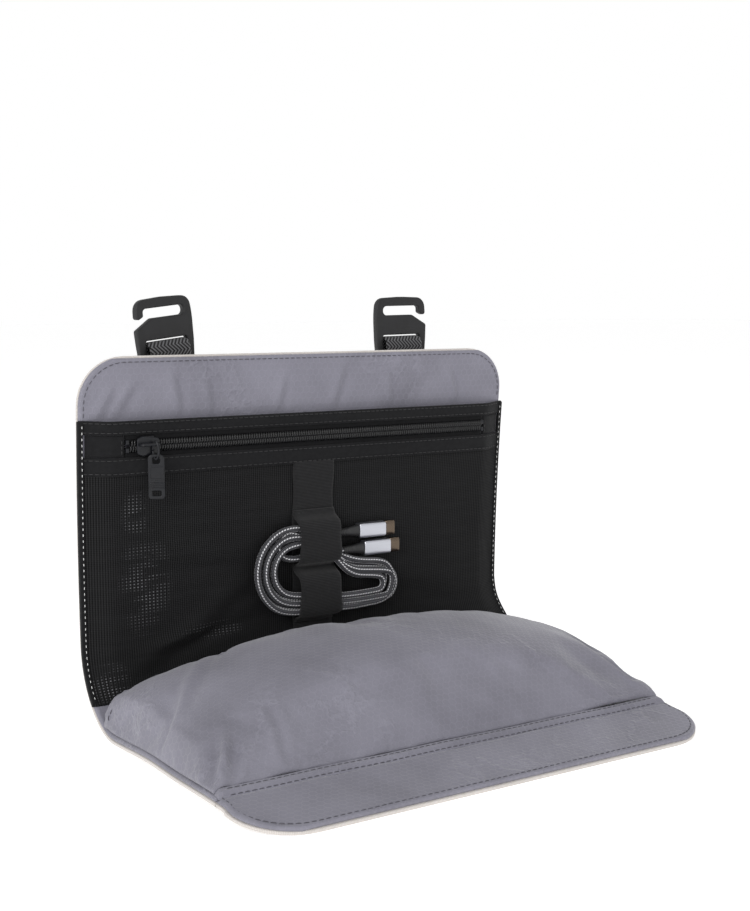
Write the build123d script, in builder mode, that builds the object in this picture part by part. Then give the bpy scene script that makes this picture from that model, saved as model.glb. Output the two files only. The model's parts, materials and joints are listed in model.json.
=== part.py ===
"""Headphone carrying case, stood open: base with a headphone pouch, front flap and upright back panel.

Millimetres. +X to the right, +Y to the rear, +Z up. The origin is on the floor, in the middle of the case.
The case is one soft sheet: flap, base, a rolled fold and the back panel, each of shell, foam and lining.
"""

import os
from math import atan, cos, sin, sqrt

from build123d import *

# Overall sheet
width = 260.0
flap_length = 38.0
base_length = 110.5
fold_radius = 42.0
panel_top = 187.0
panel_radius = 1300.0
corner_radius = 24.0

# Layers of the sheet, outside to inside
shell_thickness = 1.0
foam_thickness = 2.0
lining_thickness = 0.8
rim = 1.0
sheet = shell_thickness + foam_thickness + lining_thickness

# Headphone pouch
pouch_inset = 3.0
pouch_wall = 2.2
pouch_mouth_clearance = 6.0
pouch_edge_height = 28.0
pouch_crown_height = 47.5
hem_thickness = 1.0
pouch_seam_gap = 0.2

# Seam and flap
seam_width = 4.0
seam_height = 12.0
seam_gap = 0.4
seam_rounding = 1.6
flap_root_height = 4.6
flap_front_radius = 24.0
magnet_radius = 6.0
magnet_thickness = 1.5
magnet_spacing = 120.0
magnet_edge = 14.0
magnet_clearance = 0.1

# Mesh pocket and zip on the back panel
pocket_gap = 5.4
mesh_thickness = 0.8
mesh_inset = 3.0
mesh_wall = 1.5
mesh_bottom_step = 0.5
facing_thickness = 1.0
lower_facing_bottom = 128.5
lower_facing_height = 9.4
upper_facing_bottom = 149.2
upper_facing_height = 7.1
facing_overlap = 3.0
binding_width = 3.0
binding_thickness = 0.6
zip_height = 143.5
zip_half_gap = 0.8
zip_left = -108.5
zip_right = 113.0
coil_height = 2.5
coil_thickness = 1.8
tape_thickness = 0.8
stop_length = 1.8
butt_gap = 0.2
cut_margin = 1.0

# Zip slider and puller
slider_x = -97.0
slider_length = 12.0
slider_half_height = 4.9
slider_plate = 1.3
slider_clearance = 0.3
slider_flange = 1.2
flange_setback = 2.25
slider_corner = 2.0
post_length = 3.0
post_half_height = 0.5
post_setback = 0.8
bridge_half_length = 5.0
bridge_bar = 1.5
ring_inner_radius = 1.35
ring_wire = 1.0
ring_drop = 5.0
ring_offset = 2.5
puller_width = 8.2
puller_length = 22.6
puller_thickness = 1.5
puller_eye = 1.5
puller_hole_height = 3.1
puller_hole_width = 3.6
puller_hole_corner = 0.8
puller_corner = 2.0
puller_slack = 0.45
recess_height = 3.2
recess_width = 4.8
recess_length = 2.6
recess_depth = 0.5

# Cable strap
strap_width = 25.0
strap_thickness = 1.2
loop_outer_spread = 2.6
loop_inner_spread = 0.8

# Carrying hooks and their webbing
hook_inset_left = 54.5
hook_inset_right = 61.5
hook_width = 35.0
hook_thickness = 4.0
hook_bar = 4.5
hook_lower_slot = 11.0
hook_body = 11.0
hook_upper_slot = 5.1
hook_top_bar = 5.1
hook_lower_slot_width = 25.8
hook_upper_slot_width = 25.2
hook_bar_drop = 5.25
hook_lower_corner = 6.0
hook_upper_corner = 6.5
hook_slot_corner = 1.2
hook_chamfer = 0.5
hook_gap_run = 5.0
hook_gap_drop = 6.0
hook_gap_width = 5.0
hook_lip = 1.1
webbing_width = 25.0
webbing_thickness = 1.4
webbing_loop_radius = 5.0
webbing_clearance = 1.2
webbing_tail_bottom_drop = 75.0
webbing_tail_top_drop = 37.0
webbing_neck = 0.5
webbing_spread = 1.0
webbing_fork_out = 2.0
webbing_fork_up = 6.0
webbing_fork_radius = 0.3
rear_standoff = 10.5

# Charging cable
cable_thickness = 7.0
cable_clearance = 0.4
cable_seat_height = 98.5
upper_run = (75.0, 96.0)
lower_run = (45.5, 66.5)
bundle_centre_x = -13.3
bundle_width = 52.0
bundle_corner = 20.0
bundle_window = 44.0
upper_run_left = -6.8
lower_run_left = -6.2
lower_run_right = 54.2
lower_run_corner = 9.5
lead_length = 8.0
lead_top = 84.0
coil_eye_x = 31.0
coil_eye_height = 54.5
coil_eye_length = 20.0
coil_eye_width = 6.0
boot_length = 13.2
boot_radius = 2.7
boot_end_radius = 1.9
plug_length = 17.2
plug_height = 8.2
plug_thickness = 6.0
tip_length = 6.7
tip_height = 8.2
tip_thickness = 2.5
plug_rounding = 0.45
upper_plug_height = 88.6
lower_plug_height = 78.6
boot_gap = 0.3
boot_stagger = 3.2

# Places that follow from the sizes above
depth = flap_length + base_length + fold_radius + rear_standoff
front_y = -depth / 2
seam_y = front_y + flap_length
fold_y = seam_y + base_length
back_y = fold_y + fold_radius
hook_y = back_y + rear_standoff - webbing_loop_radius
inner_width = width - 2 * rim
lining_depth = sheet
mesh_depth = lining_depth + pocket_gap
front_depth = mesh_depth + mesh_thickness
strap_depth = front_depth + strap_thickness
mesh_width = width - 2 * mesh_inset
mesh_bottom = fold_radius + mesh_bottom_step
coil_bottom_height = zip_height - zip_half_gap - coil_height
lower_tape_bottom = lower_facing_bottom + 2.7
upper_tape_top = upper_facing_bottom + facing_overlap

os.makedirs("parts", exist_ok=True)


def save(piece, name):
    """Label a finished piece and write its STEP file."""
    piece.part.label = name
    export_step(piece.part, f"parts/{name}.step")


def panel_y(height, inward):
    """Y of the back panel's surface at a height, at a depth in from its outer face."""
    reach = panel_radius - inward
    return back_y - panel_radius + sqrt(reach**2 - (height - fold_radius) ** 2)


def panel_band(bottom, top, outer, inner, wide, centre=0.0, mode=Mode.ADD):
    """A strip of the back panel between two heights and two depths in from its outer face."""
    middle = (bottom + top) / 2
    with BuildSketch(Plane.YZ.offset(centre - wide / 2)) as strip:
        with BuildLine():
            outer_arc = ThreePointArc(
                (panel_y(bottom, outer), bottom),
                (panel_y(middle, outer), middle),
                (panel_y(top, outer), top),
            )
            inner_arc = ThreePointArc(
                (panel_y(bottom, inner), bottom),
                (panel_y(middle, inner), middle),
                (panel_y(top, inner), top),
            )
            Line(outer_arc @ 0, inner_arc @ 0)
            Line(outer_arc @ 1, inner_arc @ 1)
        make_face()
    extrude(strip.sketch, amount=wide, mode=mode)


def panel_plane(height, inward, centre=0.0):
    """A plane on the back panel, leaning with it: X to the right, Y up the panel, Z to the front."""
    lean = atan((height - fold_radius) / (panel_radius - inward))
    return Plane(
        origin=(centre, panel_y(height, inward), height),
        x_dir=(1, 0, 0),
        z_dir=(0, -cos(lean), -sin(lean)),
    )


def round_top_corners(radius, top, wide):
    """Cut the two upper corners of the panel layer being built to a radius."""
    with BuildSketch(Plane.XZ.offset(-back_y - 1.0)) as outline:
        with Locations((0, (top + fold_radius) / 2)):
            Rectangle(wide, top - fold_radius)
        fillet(outline.vertices().group_by(Axis.Y)[-1], radius)
    extrude(outline.sketch, amount=fold_radius, mode=Mode.INTERSECT)


def fold_band(outer, inner, wide, mode=Mode.ADD):
    """A quarter-round strip of the fold between two radii."""
    with BuildSketch(Plane.YZ.offset(-wide / 2)) as strip:
        with BuildLine():
            outer_arc = CenterArc((fold_y, fold_radius), outer, -90, 90)
            inner_arc = CenterArc((fold_y, fold_radius), inner, -90, 90)
            Line(outer_arc @ 0, inner_arc @ 0)
            Line(outer_arc @ 1, inner_arc @ 1)
        make_face()
    extrude(strip.sketch, amount=wide, mode=mode)


def slab(wide, front, rear, low, high, centre=0.0, mode=Mode.ADD):
    """A box given by its width and its limits along Y and Z."""
    with Locations((centre, (front + rear) / 2, (low + high) / 2)):
        Box(wide, rear - front, high - low, mode=mode)


# Base: shell tray, foam and lining
with BuildPart() as base_shell:
    slab(width, seam_y, fold_y, 0, sheet)
    slab(inner_width, seam_y, fold_y, shell_thickness, sheet, mode=Mode.SUBTRACT)
save(base_shell, "base_shell")

with BuildPart() as base_foam:
    slab(inner_width, seam_y, fold_y, shell_thickness, shell_thickness + foam_thickness)
save(base_foam, "base_foam")

with BuildPart() as base_lining:
    slab(inner_width, seam_y, fold_y, shell_thickness + foam_thickness, sheet)
save(base_lining, "base_lining")

# Fold: the same three layers rolled a quarter turn
foam_radius = fold_radius - shell_thickness
lining_radius = foam_radius - foam_thickness

with BuildPart() as fold_shell:
    fold_band(fold_radius, fold_radius - sheet, width)
    fold_band(foam_radius, fold_radius - sheet, inner_width, mode=Mode.SUBTRACT)
save(fold_shell, "fold_shell")

with BuildPart() as fold_foam:
    fold_band(foam_radius, lining_radius, inner_width)
save(fold_foam, "fold_foam")

with BuildPart() as fold_lining:
    fold_band(lining_radius, fold_radius - sheet, inner_width)
save(fold_lining, "fold_lining")

# Back panel: shell tray with rounded upper corners, foam and lining
inner_top = panel_top - rim
inner_corner = corner_radius - rim
foam_depth = shell_thickness + foam_thickness

with BuildPart() as back_shell_cavity:
    panel_band(fold_radius, inner_top, shell_thickness, sheet + rim, inner_width)
    round_top_corners(inner_corner, inner_top, inner_width)

with BuildPart() as back_shell:
    panel_band(fold_radius, panel_top, 0, sheet, width)
    round_top_corners(corner_radius, panel_top, width)
    add(back_shell_cavity.part, mode=Mode.SUBTRACT)
save(back_shell, "back_shell")

magnet_seat = shell_thickness + (foam_thickness - magnet_thickness) / 2
magnet_plane = panel_plane(panel_top - magnet_edge, magnet_seat)

with BuildPart() as back_magnets:
    with BuildSketch(magnet_plane):
        with GridLocations(magnet_spacing, 0, 2, 1):
            Circle(magnet_radius)
    extrude(amount=magnet_thickness)
save(back_magnets, "back_magnets")

with BuildPart() as back_foam:
    panel_band(fold_radius, inner_top, shell_thickness, foam_depth, inner_width)
    round_top_corners(inner_corner, inner_top, inner_width)
    with BuildSketch(magnet_plane.offset(-foam_thickness)):
        with GridLocations(magnet_spacing, 0, 2, 1):
            Circle(magnet_radius + magnet_clearance)
    extrude(amount=3 * foam_thickness, mode=Mode.SUBTRACT)
save(back_foam, "back_foam")

with BuildPart() as back_lining:
    panel_band(fold_radius, inner_top, foam_depth, sheet, inner_width)
    round_top_corners(inner_corner, inner_top, inner_width)
save(back_lining, "back_lining")

# Front seam: the rolled edge where pouch, base and flap are sewn together
with BuildPart() as front_seam:
    slab(width - 2 * pouch_inset, seam_y, seam_y + seam_width, sheet, seam_height)
    fillet(edges().filter_by(Axis.X).group_by(Axis.Z)[-1], seam_rounding)
save(front_seam, "front_seam")

# Flap: slopes from the seam down to the floor, front corners rounded
flap_root_y = seam_y - seam_gap
flap_overhang = sheet * flap_root_height / flap_length
flap_run = flap_root_y - front_y - flap_overhang
flap_plane = Plane(
    origin=(0, flap_root_y, flap_root_height),
    x_dir=(1, 0, 0),
    z_dir=(0, -flap_root_height, flap_run),
)
flap_reach = sqrt(flap_run**2 + flap_root_height**2)


def flap_layer(low, high, inset, mode=Mode.ADD):
    """A layer of the flap between two heights above its outer face."""
    with BuildSketch(flap_plane.offset(low)) as layer:
        with Locations((0, (inset - flap_reach) / 2)):
            Rectangle(width - 2 * inset, flap_reach - inset)
        fillet(layer.vertices().group_by(Axis.Y)[0], flap_front_radius - inset)
    extrude(layer.sketch, amount=high - low, mode=mode)


with BuildPart() as flap_shell:
    flap_layer(0, sheet, 0)
    flap_layer(shell_thickness, sheet, rim, mode=Mode.SUBTRACT)
save(flap_shell, "flap_shell")

flap_magnet_y = -flap_reach + magnet_edge

with BuildPart() as flap_magnets:
    with BuildSketch(flap_plane.offset(magnet_seat)):
        with Locations((0, flap_magnet_y)):
            with GridLocations(magnet_spacing, 0, 2, 1):
                Circle(magnet_radius)
    extrude(amount=magnet_thickness)
save(flap_magnets, "flap_magnets")

with BuildPart() as flap_foam:
    flap_layer(shell_thickness, foam_depth, rim)
    with BuildSketch(flap_plane.offset(shell_thickness)):
        with Locations((0, flap_magnet_y)):
            with GridLocations(magnet_spacing, 0, 2, 1):
                Circle(magnet_radius + magnet_clearance)
    extrude(amount=foam_thickness, mode=Mode.SUBTRACT)
save(flap_foam, "flap_foam")

with BuildPart() as flap_lining:
    flap_layer(foam_depth, sheet, rim)
save(flap_lining, "flap_lining")

# Headphone pouch: a domed pocket, sewn along its front and sides and open to the rear
pouch_half_width = width / 2 - pouch_inset
pouch_front = seam_y + seam_width + pouch_seam_gap
pouch_mouth = fold_y + pouch_mouth_clearance
pouch_profile = [
    (0.0, 0.46, 0.40),
    (0.10, 0.80, 0.66),
    (0.32, 0.88, 0.86),
    (0.58, 0.95, 0.96),
    (0.83, 1.0, 1.0),
    (1.0, 1.0, 0.955),
]


def pouch_sections(inset, front, rear):
    """Arched cross-sections from the front seam to the mouth, all drawn in by the inset."""
    sections = []
    for along, edge_share, crown_share in pouch_profile:
        edge = pouch_edge_height * edge_share - inset
        crown = pouch_crown_height * crown_share - inset
        half = pouch_half_width - inset
        with BuildSketch(Plane.XZ.offset(-(front + along * (rear - front)))) as section:
            with BuildLine():
                ThreePointArc((-half, edge), (0, crown), (half, edge))
                Polyline((half, edge), (half, sheet), (-half, sheet), (-half, edge))
            make_face()
        sections.append(section.sketch)
    return sections


with BuildPart() as pouch_room:
    loft(pouch_sections(pouch_wall, pouch_front + pouch_wall, pouch_mouth + cut_margin))

with BuildPart() as headphone_pouch:
    loft(pouch_sections(0, pouch_front, pouch_mouth))
    add(pouch_room.part, mode=Mode.SUBTRACT)
    fold_band(fold_radius, fold_radius - sheet, width, mode=Mode.SUBTRACT)
save(headphone_pouch, "headphone_pouch")

# Hem: the bound rear edge of the pouch, just behind its mouth
with BuildPart() as pouch_hem:
    with BuildSketch(Plane.XZ.offset(-pouch_mouth)):
        crown = pouch_crown_height * pouch_profile[-1][2]
        half = pouch_half_width
        with BuildLine():
            ThreePointArc((-half, pouch_edge_height), (0, crown), (half, pouch_edge_height))
            Line((half, pouch_edge_height), (half - pouch_wall, pouch_edge_height - pouch_wall))
            ThreePointArc(
                (half - pouch_wall, pouch_edge_height - pouch_wall),
                (0, crown - pouch_wall),
                (pouch_wall - half, pouch_edge_height - pouch_wall),
            )
            Line((pouch_wall - half, pouch_edge_height - pouch_wall), (-half, pouch_edge_height))
        make_face()
    extrude(amount=-hem_thickness)
save(pouch_hem, "pouch_hem")

# Mesh pocket: a shallow pan, closed along its sides and bottom, standing off the lining
mesh_top = lower_tape_bottom - butt_gap

with BuildPart() as mesh_pocket:
    panel_band(mesh_bottom, mesh_top, lining_depth, front_depth, mesh_width)
    panel_band(
        mesh_bottom + mesh_wall,
        mesh_top + cut_margin,
        lining_depth - cut_margin,
        mesh_depth,
        mesh_width - 2 * mesh_wall,
        mode=Mode.SUBTRACT,
    )
save(mesh_pocket, "mesh_pocket")

binding_x = (mesh_width - binding_width) / 2
for name, side in (("mesh_binding_left", -1), ("mesh_binding_right", 1)):
    with BuildPart() as mesh_binding:
        panel_band(
            mesh_bottom,
            lower_facing_bottom - butt_gap,
            front_depth,
            front_depth + binding_thickness,
            binding_width,
            centre=side * binding_x,
        )
    save(mesh_binding, name)

# Facings: the grosgrain bands above and below the zip
with BuildPart() as lower_facing:
    panel_band(
        lower_facing_bottom,
        lower_facing_bottom + lower_facing_height,
        front_depth,
        front_depth + facing_thickness,
        mesh_width,
    )
save(lower_facing, "lower_facing")

with BuildPart() as upper_facing:
    panel_band(
        upper_facing_bottom,
        upper_facing_bottom + upper_facing_height,
        lining_depth,
        front_depth + facing_thickness,
        mesh_width,
    )
    panel_band(
        upper_facing_bottom - cut_margin,
        upper_tape_top + butt_gap,
        lining_depth - cut_margin,
        front_depth,
        mesh_width,
        mode=Mode.SUBTRACT,
    )
save(upper_facing, "upper_facing")

# Zip: two tapes, two coils, stops and the fabric tabs that close its ends
zip_length = zip_right - zip_left
zip_centre = (zip_left + zip_right) / 2
coil_front = front_depth + coil_thickness
coil_length = zip_length - 2 * stop_length - 2 * butt_gap

tape_spans = {
    "zip_tape_lower": (lower_tape_bottom, zip_height - zip_half_gap),
    "zip_tape_upper": (zip_height + zip_half_gap, upper_tape_top),
}
for name, (bottom, top) in tape_spans.items():
    with BuildPart() as zip_tape:
        panel_band(bottom, top, front_depth - tape_thickness, front_depth, zip_length, centre=zip_centre)
    save(zip_tape, name)

coil_spans = {
    "zip_coil_lower": (coil_bottom_height, coil_bottom_height + coil_height),
    "zip_coil_upper": (zip_height + zip_half_gap, zip_height + zip_half_gap + coil_height),
}
for name, (bottom, top) in coil_spans.items():
    with BuildPart() as zip_coil:
        panel_band(bottom, top, front_depth, coil_front, coil_length, centre=zip_centre)
    save(zip_coil, name)

with BuildPart() as zip_stops:
    for bottom, top in coil_spans.values():
        for end in (zip_left + stop_length / 2, zip_right - stop_length / 2):
            panel_band(bottom, top, front_depth, coil_front, stop_length, centre=end)
save(zip_stops, "zip_stops")

tab_spans = {
    "zip_end_tab_left": (-mesh_width / 2, zip_left - butt_gap),
    "zip_end_tab_right": (zip_right + butt_gap, mesh_width / 2),
}
for name, (left, right) in tab_spans.items():
    with BuildPart() as zip_end_tab:
        panel_band(
            lower_facing_bottom + lower_facing_height + butt_gap,
            upper_facing_bottom - butt_gap,
            lining_depth,
            front_depth + facing_thickness / 2,
            right - left,
            centre=(left + right) / 2,
        )
    save(zip_end_tab, name)

# Slider: two plates joined by a post, with a bridge for the pull ring
zip_plane = panel_plane(zip_height, front_depth, slider_x)
plate_rear = -(tape_thickness + slider_clearance)
plate_front = coil_thickness + slider_clearance
flange_inner = zip_half_gap + coil_height + slider_clearance
slider_face = plate_front + slider_plate
ring_outer_radius = ring_inner_radius + ring_wire
bar_out = slider_face + ring_outer_radius + slider_clearance

with BuildPart(zip_plane) as zip_slider:
    with Locations((0, 0, plate_rear - slider_plate / 2)):
        Box(slider_length, 2 * slider_half_height, slider_plate)
    with Locations((0, 0, plate_front + slider_plate / 2)):
        Box(slider_length, 2 * slider_half_height, slider_plate)
    plate_corners = edges().filter_by(Axis(zip_plane.origin, zip_plane.z_dir))
    fillet(plate_corners, slider_corner)
    with Locations((-(slider_length - post_length) / 2 + post_setback, 0, (plate_rear + plate_front) / 2)):
        Box(post_length, 2 * post_half_height, plate_front - plate_rear)
    flange_depth = plate_front - slider_clearance
    for side in (-1, 1):
        with Locations((0, side * (flange_inner + slider_flange / 2), plate_front - flange_depth / 2)):
            Box(slider_length - 2 * flange_setback, slider_flange, flange_depth)
    bridge_out = bar_out + bridge_bar / 2
    with Locations((0, 0, (slider_face + bridge_out) / 2)):
        Box(2 * bridge_half_length, bridge_bar, bridge_out - slider_face)
    with Locations((0, 0, (slider_face + bar_out - bridge_bar / 2) / 2)):
        Box(
            2 * (bridge_half_length - bridge_bar),
            2 * bridge_bar,
            bar_out - bridge_bar / 2 - slider_face,
            mode=Mode.SUBTRACT,
        )
save(zip_slider, "zip_slider")

# Pull: a wire ring through the bridge and a flat puller hanging from it
bar_centre = zip_plane.origin + zip_plane.z_dir * bar_out
pull_x = slider_x + ring_offset
pull_plane = Plane(origin=(pull_x, bar_centre.Y, bar_centre.Z), x_dir=(1, 0, 0), z_dir=(0, -1, 0))

with BuildPart() as zip_pull_ring:
    ring_plane = Plane(
        origin=(pull_x - ring_wire / 2, bar_centre.Y, bar_centre.Z - ring_drop / 2),
        x_dir=(0, 0, 1),
        z_dir=(1, 0, 0),
    )
    with BuildSketch(ring_plane):
        SlotCenterToCenter(ring_drop, 2 * ring_outer_radius)
        SlotCenterToCenter(ring_drop, 2 * ring_inner_radius, mode=Mode.SUBTRACT)
    extrude(amount=ring_wire)
save(zip_pull_ring, "zip_pull_ring")

puller_top = -(ring_drop + ring_inner_radius - puller_eye - puller_slack)
with BuildPart() as zip_puller:
    with BuildSketch(pull_plane.offset(-puller_thickness / 2)):
        with Locations((0, puller_top - puller_length / 2)):
            RectangleRounded(puller_width, puller_length, puller_corner)
        with Locations((0, puller_top - puller_eye - puller_hole_height / 2)):
            RectangleRounded(puller_hole_width, puller_hole_height, puller_hole_corner, mode=Mode.SUBTRACT)
    extrude(amount=puller_thickness)
    with BuildSketch(pull_plane.offset(puller_thickness / 2)):
        with Locations((0, puller_top - puller_length + recess_height)):
            Rectangle(recess_width, recess_length)
    extrude(amount=-recess_depth, mode=Mode.SUBTRACT)
save(zip_puller, "zip_puller")

# Strap: a flat elastic strip on the mesh with two raised loops
strap_top = lower_facing_bottom - butt_gap

with BuildPart() as organizer_strap:
    panel_band(mesh_bottom, strap_top, front_depth, strap_depth, strap_width)
save(organizer_strap, "organizer_strap")

cable_rear = panel_y(cable_seat_height, strap_depth) - cable_clearance
cable_front = cable_rear - cable_thickness
loop_inner_y = cable_front - cable_clearance
loop_outer_y = loop_inner_y - strap_thickness

for name, (low, high) in (("cable_loop_upper", upper_run), ("cable_loop_lower", lower_run)):
    with BuildPart() as cable_loop:
        inner_low = low - cable_clearance
        inner_high = high + cable_clearance
        with BuildSketch(Plane.YZ.offset(-strap_width / 2)):
            Polygon(
                (back_y, inner_low - loop_outer_spread),
                (back_y, inner_high + loop_outer_spread),
                (loop_outer_y, inner_high + strap_thickness),
                (loop_outer_y, inner_low - strap_thickness),
                align=None,
            )
            Polygon(
                (back_y, inner_low - loop_inner_spread),
                (back_y, inner_high + loop_inner_spread),
                (loop_inner_y, inner_high),
                (loop_inner_y, inner_low),
                align=None,
                mode=Mode.SUBTRACT,
            )
        extrude(amount=strap_width)
        panel_band(
            mesh_bottom - 5 * cut_margin,
            strap_top,
            -sheet,
            strap_depth,
            strap_width + 2 * cut_margin,
            mode=Mode.SUBTRACT,
        )
    save(cable_loop, name)

# Charging cable: the coiled bundle and its two plugs, held in the strap's loops
upper_boot_x = strap_width / 2 + boot_gap
lower_boot_x = upper_boot_x + boot_stagger
cable_y = (cable_rear + cable_front) / 2

with BuildPart() as cable_coil:
    with BuildSketch(Plane.XZ.offset(-cable_rear)):
        with Locations((bundle_centre_x, (lower_run[0] + upper_run[1]) / 2)):
            RectangleRounded(bundle_width, upper_run[1] - lower_run[0], bundle_corner)
        with Locations(((upper_run_left + upper_boot_x) / 2, (upper_run[0] + upper_run[1]) / 2)):
            Rectangle(upper_boot_x - upper_run_left, upper_run[1] - upper_run[0])
        with Locations(((lower_run_left + lower_run_right) / 2, (lower_run[0] + lower_run[1]) / 2)):
            RectangleRounded(lower_run_right - lower_run_left, lower_run[1] - lower_run[0], lower_run_corner)
        with Locations((lower_boot_x - lead_length / 2, (upper_run[0] + lead_top) / 2)):
            Rectangle(lead_length, lead_top - upper_run[0])
        with Locations((0, (lower_run[1] + upper_run[0]) / 2)):
            Rectangle(bundle_window, upper_run[0] - lower_run[1], mode=Mode.SUBTRACT)
        with Locations((coil_eye_x, coil_eye_height)):
            SlotOverall(coil_eye_length, coil_eye_width, mode=Mode.SUBTRACT)
    extrude(amount=cable_thickness)
save(cable_coil, "cable_coil")

for level, start, height in (
    ("upper", upper_boot_x, upper_plug_height),
    ("lower", lower_boot_x, lower_plug_height),
):
    plug_plane = Plane(origin=(start, cable_y, height), x_dir=(0, 1, 0), z_dir=(1, 0, 0))

    with BuildPart() as cable_boot:
        with BuildSketch(plug_plane):
            Circle(boot_end_radius)
        with BuildSketch(plug_plane.offset(boot_length)):
            Circle(boot_radius)
        loft()
    save(cable_boot, f"cable_boot_{level}")

    with BuildPart() as cable_plug:
        with BuildSketch(plug_plane.offset(boot_length)):
            RectangleRounded(plug_thickness, plug_height, plug_thickness * plug_rounding)
        extrude(amount=plug_length)
    save(cable_plug, f"cable_plug_{level}")

    with BuildPart() as cable_tip:
        with BuildSketch(plug_plane.offset(boot_length + plug_length)):
            RectangleRounded(tip_thickness, tip_height, tip_thickness * plug_rounding)
        extrude(amount=tip_length)
    save(cable_tip, f"cable_tip_{level}")

# Hooks and the webbing loops that hold them
hook_height = hook_bar + hook_lower_slot + hook_body + hook_upper_slot + hook_top_bar
lower_slot_middle = hook_bar / 2 + hook_lower_slot / 2
body_top = hook_bar / 2 + hook_lower_slot + hook_body
upper_slot_middle = body_top + hook_upper_slot / 2
half_slot = hook_upper_slot_width / 2
gap_end = hook_width / 2 + cut_margin
hook_bar_height = panel_top - hook_bar_drop
webbing_tail_bottom = panel_top - webbing_tail_bottom_drop
webbing_tail_top = panel_top - webbing_tail_top_drop
crown_height = hook_bar_height + hook_bar / 2 + hook_lower_slot - webbing_clearance - webbing_loop_radius
neck_height = hook_bar_height - webbing_loop_radius

hook_sides = {
    "left": (hook_inset_left - width / 2, -1),
    "right": (width / 2 - hook_inset_right, 1),
}
for side_name, (hook_x, side) in hook_sides.items():
    hook_plane = Plane(
        origin=(hook_x, hook_y + hook_thickness / 2, hook_bar_height), x_dir=(1, 0, 0), z_dir=(0, -1, 0)
    )

    with BuildPart() as hook:
        with BuildSketch(hook_plane):
            with Locations((0, hook_height / 2 - hook_bar / 2)):
                Rectangle(hook_width, hook_height)
            fillet(vertices().group_by(Axis.Y)[0], hook_lower_corner)
            fillet(vertices().group_by(Axis.Y)[-1], hook_upper_corner)
            with Locations((0, lower_slot_middle)):
                RectangleRounded(
                    hook_lower_slot_width, hook_lower_slot, hook_slot_corner, mode=Mode.SUBTRACT
                )
            with Locations((0, upper_slot_middle)):
                SlotOverall(hook_upper_slot_width, hook_upper_slot, mode=Mode.SUBTRACT)
            Polygon(
                (side * (half_slot - hook_gap_run), body_top),
                (side * gap_end, body_top - hook_gap_drop),
                (side * gap_end, body_top - hook_gap_drop + hook_gap_width),
                (side * half_slot, body_top + hook_lip),
                (side * half_slot, upper_slot_middle),
                (side * (half_slot - hook_gap_run), upper_slot_middle),
                align=None,
                mode=Mode.SUBTRACT,
            )
        extrude(amount=hook_thickness)
        chamfer(faces().filter_by(Axis.Y).sort_by(Axis.Y)[0].outer_wire().edges(), hook_chamfer)
    save(hook, f"hook_{side_name}")

    with BuildPart() as webbing_loop:
        tail_y = panel_y(webbing_tail_top, 0) + webbing_thickness
        with BuildSketch(Plane.YZ.offset(hook_x - webbing_width / 2)):
            with Locations((hook_y, crown_height)):
                Circle(webbing_loop_radius)
            with Locations((hook_y, neck_height)):
                Rectangle(2 * webbing_loop_radius, webbing_neck)
            with Locations((tail_y, webbing_tail_top)):
                Rectangle(2 * webbing_thickness, webbing_spread)
            make_hull()
        extrude(amount=webbing_width)
        with BuildSketch(Plane.YZ.offset(hook_x - webbing_width / 2)):
            with Locations((hook_y, crown_height)):
                Circle(webbing_loop_radius - webbing_thickness)
            with Locations((hook_y, neck_height)):
                Rectangle(2 * (webbing_loop_radius - webbing_thickness), webbing_neck)
            with Locations((tail_y + webbing_fork_out, webbing_tail_top + webbing_fork_up)):
                Circle(webbing_fork_radius)
            make_hull()
        extrude(amount=webbing_width, mode=Mode.SUBTRACT)
        panel_band(
            webbing_tail_bottom,
            webbing_tail_top,
            -2 * webbing_thickness,
            0,
            webbing_width,
            centre=hook_x,
        )
        panel_band(webbing_tail_bottom, panel_top, 0, sheet, webbing_width, centre=hook_x, mode=Mode.SUBTRACT)
    save(webbing_loop, f"webbing_loop_{side_name}")
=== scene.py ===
"""Headphone carrying case, stood open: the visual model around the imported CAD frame, in metres."""

import json
import math
from contextlib import contextmanager

import bmesh
import bpy
import numpy as np
from mathutils import Matrix, Vector


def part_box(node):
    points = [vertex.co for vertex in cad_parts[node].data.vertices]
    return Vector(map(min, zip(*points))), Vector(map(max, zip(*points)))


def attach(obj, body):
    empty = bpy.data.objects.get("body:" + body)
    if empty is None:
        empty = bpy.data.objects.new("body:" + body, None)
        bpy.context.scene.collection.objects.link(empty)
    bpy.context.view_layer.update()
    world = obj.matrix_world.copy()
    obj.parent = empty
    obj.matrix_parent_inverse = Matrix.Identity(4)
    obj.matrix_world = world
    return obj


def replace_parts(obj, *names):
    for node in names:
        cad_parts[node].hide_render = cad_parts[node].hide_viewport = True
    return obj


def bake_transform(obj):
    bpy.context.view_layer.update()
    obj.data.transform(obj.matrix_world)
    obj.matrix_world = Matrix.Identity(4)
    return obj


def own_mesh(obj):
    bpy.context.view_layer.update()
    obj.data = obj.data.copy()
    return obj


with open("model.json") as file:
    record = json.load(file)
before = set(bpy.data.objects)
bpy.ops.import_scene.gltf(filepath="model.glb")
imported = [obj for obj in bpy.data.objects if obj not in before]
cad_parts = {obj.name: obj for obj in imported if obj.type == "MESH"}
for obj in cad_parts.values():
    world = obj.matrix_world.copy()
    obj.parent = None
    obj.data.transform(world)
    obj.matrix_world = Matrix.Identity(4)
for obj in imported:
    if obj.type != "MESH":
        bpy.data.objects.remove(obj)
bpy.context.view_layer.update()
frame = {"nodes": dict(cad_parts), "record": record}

MM = 0.001
SEED = 7

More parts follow.
